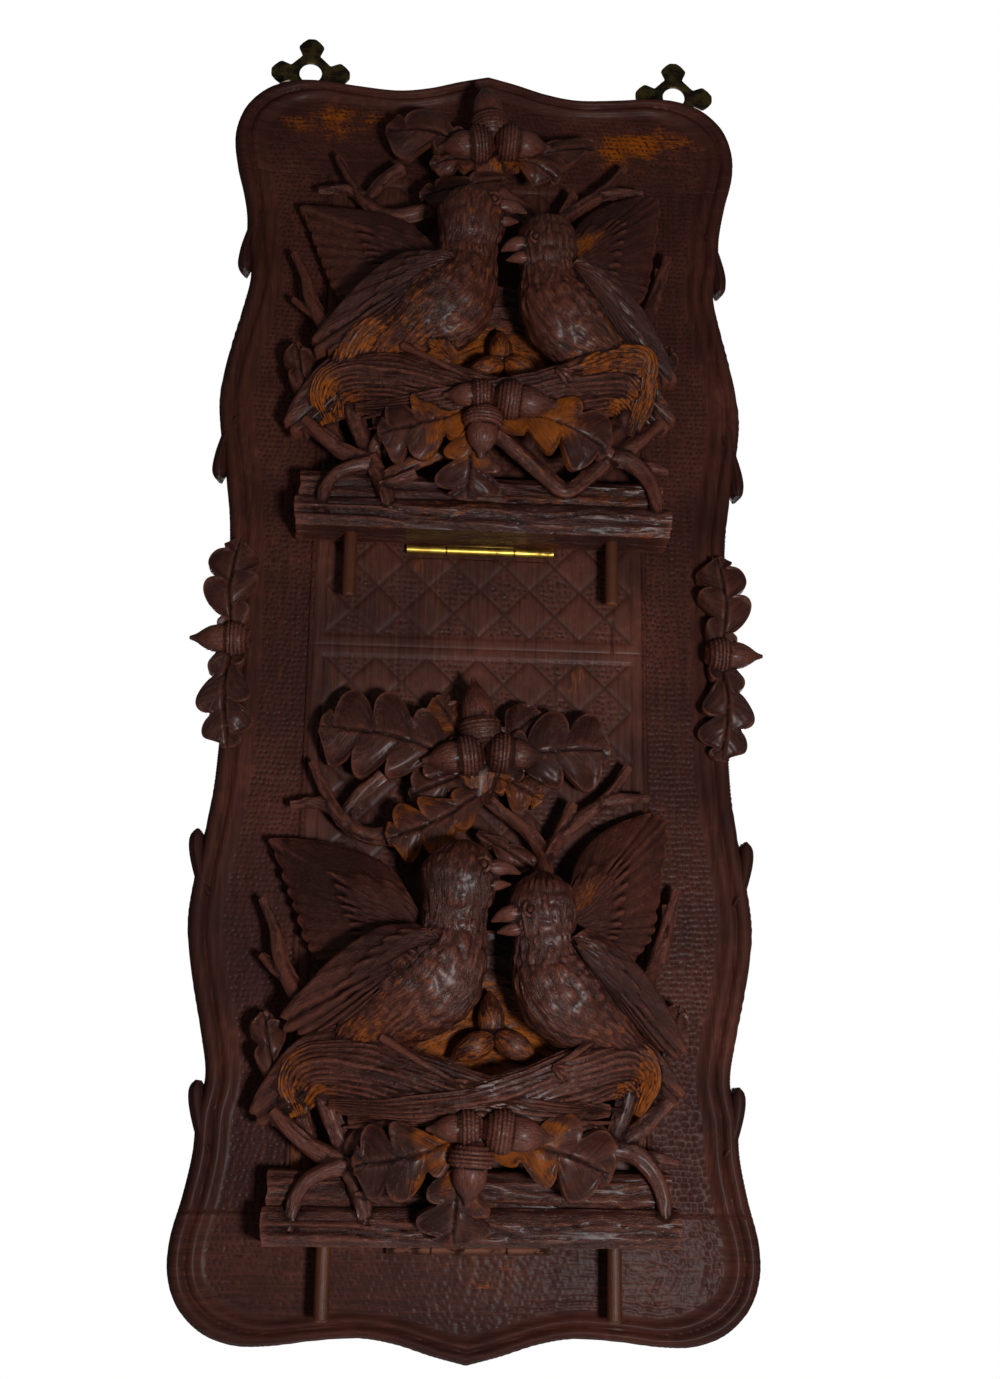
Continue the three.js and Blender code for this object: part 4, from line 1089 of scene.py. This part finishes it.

# %% [markdown]
# ## The lattice panels
# Behind the fronts, two panels fill the frame. Crossing cuts make a lattice of diamonds, smooth and
# punched in turn, inside a plain border. Diamonds could be cut one by one, but turning the plane by an
# eighth of a turn makes each one a square cell, and the sum of a cell's numbers says whether it is a
# smooth or a punched one. The upper panel has a short crack, and the lower one is painted orange low on
# its border.

# %% Panels
PITCH, BORDER = 30.0, 6.5
PANEL_SEAM, PANEL_COLUMNS = 4, 183
SMOOTH_CELL, PUNCHED_CELL, BORDER_DEPTH, HINGE_BED = 16.6, 16.4, 17.2, 15.9
CRACK = {"x": 79.4, "low": 4, "high": 25}
HINGE_LENGTH = 88


def lattice_panel(low, high, first_row):
    half = PANEL_HALF - GAP
    low, high = low + GAP * (low != PANEL_SEAM), high - GAP * (high != PANEL_SEAM)
    x = np.linspace(-half, half, PANEL_COLUMNS)[:, None]
    z = np.linspace(low, high, int((high - low) * 3 / PUNCH_PITCH))[None]
    x, z = np.broadcast_arrays(x, z)
    a = x / PITCH + (z - first_row) / PITCH
    b = x / PITCH - (z - first_row) / PITCH
    smooth_cell = (np.round(a) + np.round(b)) % 2 == 0
    to_cut = (0.5 - np.maximum(np.abs(a - np.round(a)), np.abs(b - np.round(b)))) * PITCH / math.sqrt(2)
    cut = 0.6 * smooth(1.3, 0.4, to_cut)
    pillow = SMOOTH_CELL + 0.35 * smooth(0, 4, to_cut)
    dent = np.where(smooth_cell, 0, punched(x, z, 2.0) * smooth(1.0, 2.0, to_cut))
    depth = np.where(smooth_cell, pillow, PUNCHED_CELL - 0.8 * dent) - cut
    inside = np.minimum(half - np.abs(x), np.minimum(z - low, high - z))
    border = BORDER_DEPTH - 0.5 * smooth(1.2, 0.0, inside) - 0.9 * np.exp(-((inside - BORDER) / 0.9) ** 2)
    on_border = inside < BORDER + 0.6
    depth = np.where(on_border, border, depth)
    # Here the cut lines join the dents only for colour, because the finish paints the dents darker as shade.
    dent = np.where(on_border, 0, np.maximum(dent, 0.7 * smooth(1.2, 0.5, to_cut)))
    behind_hinge = (np.abs(x) < HINGE_LENGTH / 2 + 1) & (np.abs(z - UPPER_FRONT - 4) < 12)
    depth = np.where(behind_hinge, HINGE_BED, depth)
    crack = smooth(1.0, 0.3, np.abs(x - CRACK["x"])) * (z > CRACK["low"]) * (z < CRACK["high"])
    depth, dent = depth - 0.7 * crack, np.maximum(dent, crack)
    raw = np.where(smooth_cell & (inside > BORDER), 0.35 + 0.4 * ripple(x / 30, z / 60, 6.0), 0.1)
    raw = np.maximum(raw, 1.1 * smooth(-190, -230, z) * smooth(14, 8, inside))
    return slab(to_space(np.stack([x, z, depth], -1)), 0.0, raw, dent)


# For each panel: its low and high edge, and the height of the middle of one smooth diamond.
PANELS = [("upper", PANEL_SEAM, RAIL_JOINT, 26), ("lower", -RAIL_JOINT, PANEL_SEAM, -17)]
for name, low, high, first_row in PANELS:
    panel = put(f"{name}_lattice_panel", as_mesh(f"{name}_panel", [lattice_panel(low, high, first_row)]))
    print(panel.name, triangles(panel.data), "triangles")
    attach(panel, "back")
    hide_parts(f"{name}_panel")
    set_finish(panel, "panel_walnut")

# %% [markdown]
# ## Applied oak sprigs
# A sprig of two leaves and an acorn is fixed to the rim at each side of the waist. The leaf and acorn
# functions of the fronts serve again, with their back plane moved out to the rim.

# %% Oak sprigs
SPRIG_BACK, SPRIG_CENTRE = 20.3, 138


def right_sprig():
    at = lambda x, z, d: [SPRIG_CENTRE + x, z, SPRIG_BACK + d]
    leaves = [
        oak_leaf(at(3, -3, 4), at(4, 63, 3), 18, lift=5, bow=-4, rows=64, columns=33, back=SPRIG_BACK),
        oak_leaf(at(3, 6, 4), at(4, -61, 3), 18, lift=5, bow=4, rows=64, columns=33, back=SPRIG_BACK),
    ]
    return leaves + acorn(at(-4, 2, 8), at(29, 2, 8), 8.4, back=SPRIG_BACK)


sprig_skins = right_sprig()
for name, skins in [("right", sprig_skins), ("left", [skin.mirrored() for skin in sprig_skins])]:
    sprig = put(f"{name}_applied_sprig", carve_as_one(f"{name}_sprig", skins))
    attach(sprig, "back")
    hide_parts(f"{name}_oak_sprig")
    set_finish(sprig, "carved_walnut")

# %% [markdown]
# ## Pegs
# Two turned pegs hang under each log. When a front tips forward, their ends meet the board and stop it. A
# cylinder would do, but a tube of rings also takes softened ends and faint tool rings.

# %% Turned pegs
PEG_RADIUS, PEG_SPREAD, PEG_FORWARD, PEG_DROP, PEG_SOCKET = 4, 77, 13, 38, 9.7
PEG_SIDES = 28


def peg(side, height):
    """A turned peg with softened ends and faint tool rings."""
    top, bottom = height + PEG_SOCKET, height - PEG_DROP
    rows = np.concatenate([[0, 0.25, 0.7, 1.2], np.linspace(2, top - bottom - 1, 40), [top - bottom]])
    radius = PEG_RADIUS - 0.9 * smooth(1.2, 0, rows) ** 2 - 0.12 * ripple(rows / 2.4, 0 * rows, side)
    angle = 2 * np.pi * np.arange(PEG_SIDES) / PEG_SIDES
    rings = np.stack(np.broadcast_arrays(
        side * PEG_SPREAD + radius[:, None] * np.cos(angle),
        -FRONT_BACK - PEG_FORWARD + radius[:, None] * np.sin(angle),
        (bottom + rows)[:, None],
    ), -1)
    flow = np.stack(np.broadcast_arrays(rows[:, None], angle * PEG_RADIUS, side * 5.0), -1)
    return tube(rings, flow, 0.4)


for front, height in FRONTS.items():
    for hand, side in [("left", -1), ("right", 1)]:
        turned = put(f"{front}_{hand}_turned_peg", as_mesh("peg", [peg(side, height)]))
        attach(turned, f"{front}_front")
        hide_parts(f"{front}_{hand}_peg")
        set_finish(turned, "peg_wood")
print("a peg is", PEG_DROP + PEG_SOCKET, "mm long")

# %% [markdown]
# ## Hinges
# A brass butt hinge holds each log to the board: one leaf on the board, one on the log, and a wire through
# their rolled knuckles. Knuckles are hollow bars, because their bores show at the ends. The edges are
# slightly rounded, so that they catch the light.

# %% Hinges
LEAF_HEIGHT, AXIS_DROP, EASED = 14, 3.2, 0.25
KNUCKLE_RADIUS, BORE_RADIUS, PIN_RADIUS = 2.7, 1.5, 1.2
SPAN_END, KNUCKLE_GAP = 20.0, 0.6
LEAF_THICKNESS, FIXED_BACK, FRONT_LEAF_BACK, NOTCH = 1.0, 2.7, 1.3, 3.4


def turned_bar(left, right, radius, centre, bore=0.0, sides=32):
    """A round bar along X with softened ends, hollow where a bore is given."""
    inset, small = 0.3, radius - 0.3
    ends = np.array([[left, small], [left + inset, radius], [right - inset, radius], [right, small]])
    if bore:
        ends = np.vstack([[left, bore], ends, [right, bore]])
    angle = 2 * np.pi * np.arange(sides) / sides
    rings = np.stack(np.broadcast_arrays(
        ends[:, :1], centre[1] + ends[:, 1:] * np.cos(angle), centre[2] + ends[:, 1:] * np.sin(angle)), -1)
    flow = np.stack(np.broadcast_arrays(ends[:, :1], angle * radius, 1.0), -1)
    if not bore:
        return tube(rings, flow)
    return hoop(rings, flow.reshape(-1, 3))


def leaf_plate(left, right, back, centre, low):
    """One span of a hinge leaf with slightly rounded corners."""
    x = np.array([left, left + EASED, right - EASED, right])[:, None]
    z = np.array([low, low + EASED, LEAF_HEIGHT - EASED, LEAF_HEIGHT])[None]
    x, z = np.broadcast_arrays(x, z)
    round_off = 0.2 * np.pad(np.zeros((2, 2)), 1, constant_values=1.0)
    y = centre[1] + back
    front = np.stack([x, y - LEAF_THICKNESS + round_off, centre[2] + z], -1)
    rear = np.stack([x, y + 0 * x, centre[2] + z], -1)
    return plate(front, rear, np.stack([x, z, 0 * x], -1))


def hinge_parts(height):
    centre = (0.0, -FRONT_BACK, height - AXIS_DROP)
    half = HINGE_LENGTH / 2
    outer = [(-half, -SPAN_END - KNUCKLE_GAP), (SPAN_END + KNUCKLE_GAP, half)]
    fixed, moving = [], []
    for left, right in outer:
        fixed += [turned_bar(left, right, KNUCKLE_RADIUS, centre, BORE_RADIUS)]
        fixed += [leaf_plate(left, right, FIXED_BACK, centre, 0.0)]
        moving += [leaf_plate(left, right, FRONT_LEAF_BACK, centre, NOTCH)]
    clear = SPAN_END + KNUCKLE_GAP
    fixed += [leaf_plate(-clear, clear, FIXED_BACK, centre, NOTCH)]
    moving += [turned_bar(-SPAN_END, SPAN_END, KNUCKLE_RADIUS, centre, BORE_RADIUS)]
    moving += [leaf_plate(-clear, clear, FRONT_LEAF_BACK, centre, NOTCH)]
    moving += [leaf_plate(-SPAN_END, SPAN_END, FRONT_LEAF_BACK, centre, 1.0)]
    pin = [turned_bar(-half, half, PIN_RADIUS, centre, sides=20)]
    return fixed, moving, pin


for front, height in FRONTS.items():
    fixed, moving, pin = hinge_parts(height)
    for name, node, skins, body in [
        ("fixed_hinge_leaf", "hinge_leaf", fixed, "back"),
        ("moving_hinge_leaf", "front_leaf", moving, f"{front}_front"),
        ("hinge_wire", "hinge_pin", pin, "back"),
    ]:
        brass_piece = put(f"{front}_{name}", as_mesh(name, skins))
        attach(brass_piece, body)
        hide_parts(f"{front}_{node}")
        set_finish(brass_piece, "hinge_brass")
    print(front, "hinge", len(fixed) + len(moving) + len(pin), "skins")

# %% [markdown]
# ## Hanging plates
# Two pierced brass plates stand up behind the top rail and carry the rack. One arm is drawn as half
# widths along its length and turned four times. Rings then run from the outline to the hole, with softened
# edges, so the plate is one closed skin.

# %% Hanging plates
HANGERS = {"left": [-115.5, 396], "right": [124.5, 393.5]}
HANGER_HOLE = 7.3
# Along an arm: the distance from the middle of the hole, and the half width there.
HANGER_LOBE = [[13, 5.6], [19.5, 8.4], [23, 5.6], [25.6, 2.4]]
HANGER_POINTS = 192
# From the outline to the hole: the share of the way, and the height of the face there.
HANGER_STEPS = [
    (0.0, 0.0), (0.0, 1.1), (0.03, 1.45), (0.09, 1.5), (0.5, 1.5), (0.9, 1.5), (0.97, 1.42), (1.0, 1.1),
    (1.0, 0.0),
]


def hanger(right, up):
    """A pierced plate with four lobed arms and a round hole."""
    quarter = [[along, -across] for along, across in HANGER_LOBE]
    quarter += [[along, across] for along, across in reversed(HANGER_LOBE)]
    outline = []
    for turn in range(4):
        c, s = math.cos(turn * math.pi / 2), math.sin(turn * math.pi / 2)
        outline += [[c * x - s * z, s * x + c * z] for x, z in quarter]
    outline = np.asarray(outline + outline[:1], float)
    outer = along_edge(outline, np.linspace(0, 1, HANGER_POINTS + 1)[:-1])
    outer = outer * 0.5 + 0.25 * (np.roll(outer, 1, 0) + np.roll(outer, -1, 0))
    angle = np.arctan2(outer[:, 1], outer[:, 0])
    inner = HANGER_HOLE * np.stack([np.cos(angle), np.sin(angle)], -1)
    rings = []
    for share, height in HANGER_STEPS:
        flat = outer * (1 - share) + inner * share
        dent = 0.12 * ripple(flat[:, 0] / 4, flat[:, 1] / 4, right) * (height > 1.4)
        rings.append(np.stack([right + flat[:, 0], -height + dent, up + flat[:, 1]], -1))
    return hoop(np.stack(rings))


for name, (right, up) in HANGERS.items():
    plate_piece = put(f"{name}_pierced_hanger", as_mesh("hanger", [hanger(right, up)]))
    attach(plate_piece, "back")
    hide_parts(f"{name}_hanger")
    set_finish(plate_piece, "hanger_brass")
    print(plate_piece.name, triangles(plate_piece.data), "triangles")

# %% [markdown]
# ## Finishes
# A finish could be wired by hand in the node editor. Written as Python expressions, it can be read and
# changed like any sum. A small class wraps a socket: each expression on values adds its own Math nodes,
# and colours go through Mix nodes, because a Math node turns a colour grey.

# %% Shader arithmetic
class Wire:
    """One value, colour or vector in a node tree."""

    def __init__(self, tree, socket=None):
        self.tree, self.socket = tree, socket

    def node(self, kind, settings=None, inputs=None, out=0):
        """Any node: its type, its settings, then the values or wires of its sockets."""
        made = self.tree.nodes.new(kind)
        for key, value in (settings or {}).items():
            setattr(made, key, value)
        for key, value in (inputs or {}).items():
            if isinstance(value, Wire):
                self.tree.links.new(value.socket, made.inputs[key])
            else:
                made.inputs[key].default_value = value
        return Wire(self.tree, made.outputs[out])

    def math(self, operation, first, second):
        return self.node("ShaderNodeMath", {"operation": operation}, {0: first, 1: second})

    def __add__(self, other): return self.math("ADD", self, other)
    def __radd__(self, other): return self.math("ADD", other, self)
    def __sub__(self, other): return self.math("SUBTRACT", self, other)
    def __rsub__(self, other): return self.math("SUBTRACT", other, self)
    def __mul__(self, other): return self.math("MULTIPLY", self, other)
    def __rmul__(self, other): return self.math("MULTIPLY", other, self)

    def step(self, low, high):
        """0 below low, 1 above high, and a soft rise between."""
        settings = {"interpolation_type": "SMOOTHSTEP"}
        return self.node("ShaderNodeMapRange", settings, {"Value": self, "From Min": low, "From Max": high})

    def between(self, first, second):
        """A colour that runs from the first to the second as this value rises from 0 to 1."""
        return self.node("ShaderNodeMix", {"data_type": "RGBA"}, {0: self, 6: first, 7: second}, out=2)

    def mix(self, other, share):
        """This colour turned towards another by a share."""
        return share.between(self, other)

    def stretch(self, x, y, z):
        return self.node("ShaderNodeVectorMath", {"operation": "MULTIPLY"}, {0: self, 1: (x, y, z)})

    def noise(self, scale, detail=3.0, rough=0.55, bend=0.0):
        settings = {"Vector": self, "Scale": scale, "Detail": detail, "Roughness": rough, "Distortion": bend}
        return self.node("ShaderNodeTexNoise", None, settings)


def new_finish(name, **constant):
    """An empty finish: its material, its shader node and a wire to start from."""
    material = bpy.data.materials.new(name)
    material.use_nodes = True
    shader = material.node_tree.nodes["Principled BSDF"]
    for key, value in constant.items():
        shader.inputs[key.replace("_", " ")].default_value = value
    return material, shader, Wire(material.node_tree)


def connect(shader, **wires):
    for key, wire in wires.items():
        wire.tree.links.new(wire.socket, shader.inputs[key.replace("_", " ")])


def colour(red, green, blue):
    return (red, green, blue, 1.0)


print("a dark stain is", colour(0.02, 0.01, 0.01), "as red, green, blue and alpha")

# %% [markdown]
# The wood is walnut with a very dark red-brown stain, waxed to a soft shine. Noise stretched along the grain
# makes its figure and pores. Where the stain has worn or never took, warm orange wood shows in streaks: the
# raw number at each point says where, and noise breaks its edge. On the carvings, Pointiness tells edges
# from hollows. Edges turn lighter, partly as wear and partly as a painted highlight, and hollows are darkened
# with painted shade. On the boards, dents and cut lines are painted darker as shade.

# %% Walnut finishes
STAIN_DEEP = colour(0.026, 0.0070, 0.0050)
STAIN = colour(0.060, 0.0162, 0.0106)
# Worn stain. On the carvings it is also the colour of the painted highlight on edges.
STAIN_WORN_AND_EDGE_HIGHLIGHT = colour(0.130, 0.039, 0.0235)
RAW_ORANGE = colour(0.270, 0.064, 0.0025)
RAW_DARK = colour(0.090, 0.017, 0.0010)
# The near-black colour of the painted shade in the carvings' hollows.
PAINTED_HOLLOW_SHADE = colour(0.009, 0.0028, 0.0022)
RAW_STARTS, RAW_FULL = 0.30, 0.78
UPRIGHT, LEVEL = (420.0, 60.0, 26.0), (26.0, 60.0, 420.0)
PORE_FINENESS, RELIEF_DEPTH, WAX_ROUGHNESS = 4, 0.0022, 0.28


def walnut(name, grain, raw_strength, stain=(STAIN_DEEP, STAIN, STAIN_WORN_AND_EDGE_HIGHLIGHT), bump=0.3, gloss=0.34,
           sheen=0.22, polish=0.04, wear_and_painted_light=0.0):
    """Stained walnut. Grain is the stretch of the figure along X, Y and Z, or None to follow the flow."""
    deep, body, worn = stain
    material, shader, start = new_finish(name, Specular_IOR_Level=sheen, Coat_Roughness=WAX_ROUGHNESS)
    place = start.node("ShaderNodeTexCoord", out="Object")
    raw = start.node("ShaderNodeAttribute", {"attribute_name": "raw"}, out="Fac")
    flow = start.node("ShaderNodeAttribute", {"attribute_name": "flow"}, out="Vector")
    bend = start.node("ShaderNodeNewGeometry", out="Pointiness")
    if grain is None:
        figure_place = flow.stretch(0.06, 0.30, 1.0)
        pore_place = flow.stretch(0.24, 0.95, 1.0)
    else:
        figure_place = place.stretch(*grain)
        pore_place = place.stretch(*(PORE_FINENESS * stretch for stretch in grain))
    cloud = place.noise(16.0, 4.0)
    speck = place.noise(190.0, 3.0)
    patch = place.noise(80.0, 4.0, 0.6)
    figure = figure_place.noise(1.0, 4.0, 0.6, 0.5)
    pores = pore_place.noise(1.0, 3.0, 0.65, 0.9)
    tone = 0.55 * cloud + 0.45 * figure
    wood = tone.step(0.36, 0.62).between(deep, body)
    # Worn spots at random. On the carvings, edges that Pointiness finds are also lightened as a painted
    # highlight.
    worn_and_highlit = (0.35 * cloud + 0.4 * pores + 0.25 * speck + 4.5 * wear_and_painted_light * (bend - 0.5)).step(0.50, 0.72)
    wood = wood.mix(worn, 0.8 * worn_and_highlit)
    spread = 1 + 2.2 * (patch - 0.5) + 3.6 * (pores - 0.5) + 1.0 * (speck - 0.5)
    exposed = (raw * raw_strength * spread).step(RAW_STARTS, RAW_FULL)
    wood = wood.mix(RAW_ORANGE, exposed)
    streaks = (0.6 * pores + 0.4 * patch).step(0.60, 0.40)
    wood = wood.mix(RAW_DARK, 0.9 * exposed * streaks)
    # Painted shade: hollows that Pointiness finds are turned towards a near-black colour.
    painted_shade_in_hollows = (bend + 0.10 * (pores - 0.5)).step(0.497, 0.445)
    wood = wood.mix(PAINTED_HOLLOW_SHADE, 0.9 * wear_and_painted_light * painted_shade_in_hollows)
    height = 0.65 * pores + 0.2 * figure + (0.15 + 0.3 * wear_and_painted_light) * speck
    # Painted shade: on the boards, the dents, the cut lines and the crack are turned towards the deep stain.
    if grain is not None:
        dent = start.node("ShaderNodeSeparateXYZ", None, {0: flow})
        wood = wood.mix(deep, 0.8 * dent.step(0.1, 0.8))
    relief = start.node("ShaderNodeBump", None,
                        {"Strength": bump, "Distance": RELIEF_DEPTH, "Height": height})
    connect(shader, Base_Color=wood, Normal=relief, Roughness=gloss + 0.25 * (1 - pores) + 0.3 * exposed,
            Coat_Weight=polish * (1 - exposed))
    return material


PANEL_STAIN = colour(0.028, 0.0080, 0.0055), colour(0.080, 0.0235, 0.0150), colour(0.150, 0.048, 0.028)
PEG_STAIN = colour(0.055, 0.016, 0.007), colour(0.165, 0.049, 0.018), colour(0.28, 0.095, 0.038)
WALNUTS = {
    # On the carved finish, the wear setting also paints highlights on edges and shade in hollows.
    "carved_walnut": dict(grain=None, raw_strength=0.95, bump=0.8, gloss=0.25, sheen=0.24, polish=0.12,
                          wear_and_painted_light=1.0),
    "board_walnut": dict(grain=UPRIGHT, raw_strength=0.9, gloss=0.55, sheen=0.12),
    "rail_walnut": dict(grain=LEVEL, raw_strength=0.9, gloss=0.55, sheen=0.12),
    "panel_walnut": dict(grain=(420.0, 60.0, 22.0), raw_strength=0.4, stain=PANEL_STAIN, gloss=0.45,
                         sheen=0.18),
    "peg_wood": dict(grain=(420.0, 420.0, 24.0), raw_strength=0.6, stain=PEG_STAIN),
}
finishes = {name: walnut(name, **settings) for name, settings in WALNUTS.items()}
print("walnut finishes", sorted(finishes))

# %% [markdown]
# The brass is old. Noise mixes bright and dull metal and leaves patches of tarnish, and noise stretched
# across the plate makes fine scratches. The hanging plates are nearly brown. The lower hinge is nearly
# brown too: it is painted the tone of the shaded wood round it, as painted shade.

# %% Brass finishes
def brass(name, bright, dull, tarnish, clean, rough):
    """Old brass with tarnish where a noise falls below clean."""
    material, shader, start = new_finish(name, Metallic=1.0, Specular_IOR_Level=0.5)
    place = start.node("ShaderNodeTexCoord", out="Object")
    cloud = place.noise(120.0, 4.0)
    scratch = place.stretch(60.0, 900.0, 900.0).noise(1.0, 2.0)
    metal = cloud.step(0.35, 0.65).between(dull, bright)
    stain = (cloud + 0.4 * (scratch - 0.5)).step(clean, clean - 0.16)
    metal = metal.mix(tarnish, stain)
    height = cloud + 0.5 * scratch
    relief = start.node("ShaderNodeBump", None, {"Strength": 0.2, "Distance": 0.0004, "Height": height})
    connect(shader, Base_Color=metal, Normal=relief, Roughness=rough + 0.25 * stain + 0.1 * scratch)
    return material


BRASSES = {
    "hinge_brass": dict(bright=colour(0.78, 0.53, 0.10), dull=colour(0.52, 0.33, 0.06),
                        tarnish=colour(0.16, 0.09, 0.03), clean=0.42, rough=0.30),
    # The lower hinge's brass is painted the dark brown of the shaded wood round it: painted shade.
    "dull_hinge_brass": dict(bright=colour(0.20, 0.085, 0.055), dull=colour(0.14, 0.060, 0.040),
                             tarnish=colour(0.08, 0.035, 0.025), clean=0.5, rough=0.7),
    "hanger_brass": dict(bright=colour(0.16, 0.12, 0.04), dull=colour(0.07, 0.05, 0.028),
                         tarnish=colour(0.03, 0.022, 0.016), clean=0.56, rough=0.42),
}
for name, settings in BRASSES.items():
    finishes[name] = brass(name, **settings)
print("brass finishes", sorted(BRASSES))

# %% [markdown]
# Every piece has a slot with the name of its finish. The rails take the same stain as the stiles, but their
# grain lies level, and the lower hinge takes the dull brass that is painted as shade.

# %% Each piece gets its finish
pieces = [o for o in bpy.context.scene.objects if o.type == "MESH" and "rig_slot" in o.keys()]
for piece in pieces:
    finish = "rail_walnut" if piece.name.endswith("rail") else piece["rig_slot"]
    # The lower hinge takes the brass that is painted as shade.
    finish = "dull_hinge_brass" if piece.name.startswith("lower") and finish == "hinge_brass" else finish
    piece.data.materials.clear()
    piece.data.materials.append(finishes[finish])
print(len(pieces), "pieces with", len(finishes), "finishes")

# %% [markdown]
# ## Floor and light
# The rack hangs in front of plain white. A pale floor lies well below it. One small soft key lamp stands to
# the right of the camera, a little lower, so each form throws a dark edge to its upper left. A wide faint
# lamp and a faint white surround fill the shadows. Two more lamps behind the rack light its back and the
# floor, so that it also reads well from other sides.

# %% Floor and surround
FLOOR_SIZE, FLOOR_PLACE = 4.0, (0, -0.6, -1.6)
SURROUND_LIGHT = 0.08
bpy.ops.mesh.primitive_plane_add(size=FLOOR_SIZE, location=FLOOR_PLACE)
floor = bpy.context.object
floor.name = "pale_floor"
pale, _, _ = new_finish("pale_floor", Base_Color=colour(0.82, 0.81, 0.79), Roughness=0.8)
floor.data.materials.append(pale)

world = bpy.data.worlds.new("surround")
bpy.context.scene.world = world
world.use_nodes = True
surround = Wire(world.node_tree)
seen = surround.node("ShaderNodeLightPath", out="Is Camera Ray")
background = world.node_tree.nodes["Background"]
background.inputs["Color"].default_value = colour(1, 1, 1)
strength = SURROUND_LIGHT + (1 - SURROUND_LIGHT) * seen
world.node_tree.links.new(strength.socket, background.inputs["Strength"])
print("surround light", SURROUND_LIGHT, "and a floor of", FLOOR_SIZE, "m")

# %% Lamps
# For each lamp: its name, its place and the point that it faces in metres, its size and its power.
LAMPS = [
    ("key_lamp", (0.27, -0.98, -0.40), (0.0, 0.0, -0.05), 0.13, 8.2),
    ("fill_lamp", (-0.5, -1.4, 0.3), (0.0, 0.0, 0.0), 1.0, 0.7),
    ("back_lamp", (0.5, 1.6, 0.1), (0.0, 0.0, -0.1), 1.0, 9.0),
    ("floor_lamp", (0.0, 1.3, 0.1), (0.0, 0.2, -1.6), 1.0, 30.0),
]


def lamp(name, place, aim, size, power):
    data = bpy.data.lights.new(name, "AREA")
    data.size, data.energy = size, power
    made = bpy.data.objects.new(name, data)
    made.location = place
    made.rotation_euler = (Vector(aim) - Vector(place)).to_track_quat("-Z", "Y").to_euler()
    bpy.context.collection.objects.link(made)


for name, place, aim, size, power in LAMPS:
    lamp(name, place, aim, size, power)
bpy.context.scene.view_settings.view_transform = "Standard"
print(len(LAMPS), "lamps")

# %% [markdown]
# ## Triangles
# The triangles of all dressed pieces are counted, and their sum is printed.

# %% Triangles in all and the end
print("triangles in all", sum(triangles(piece.data) for piece in pieces))
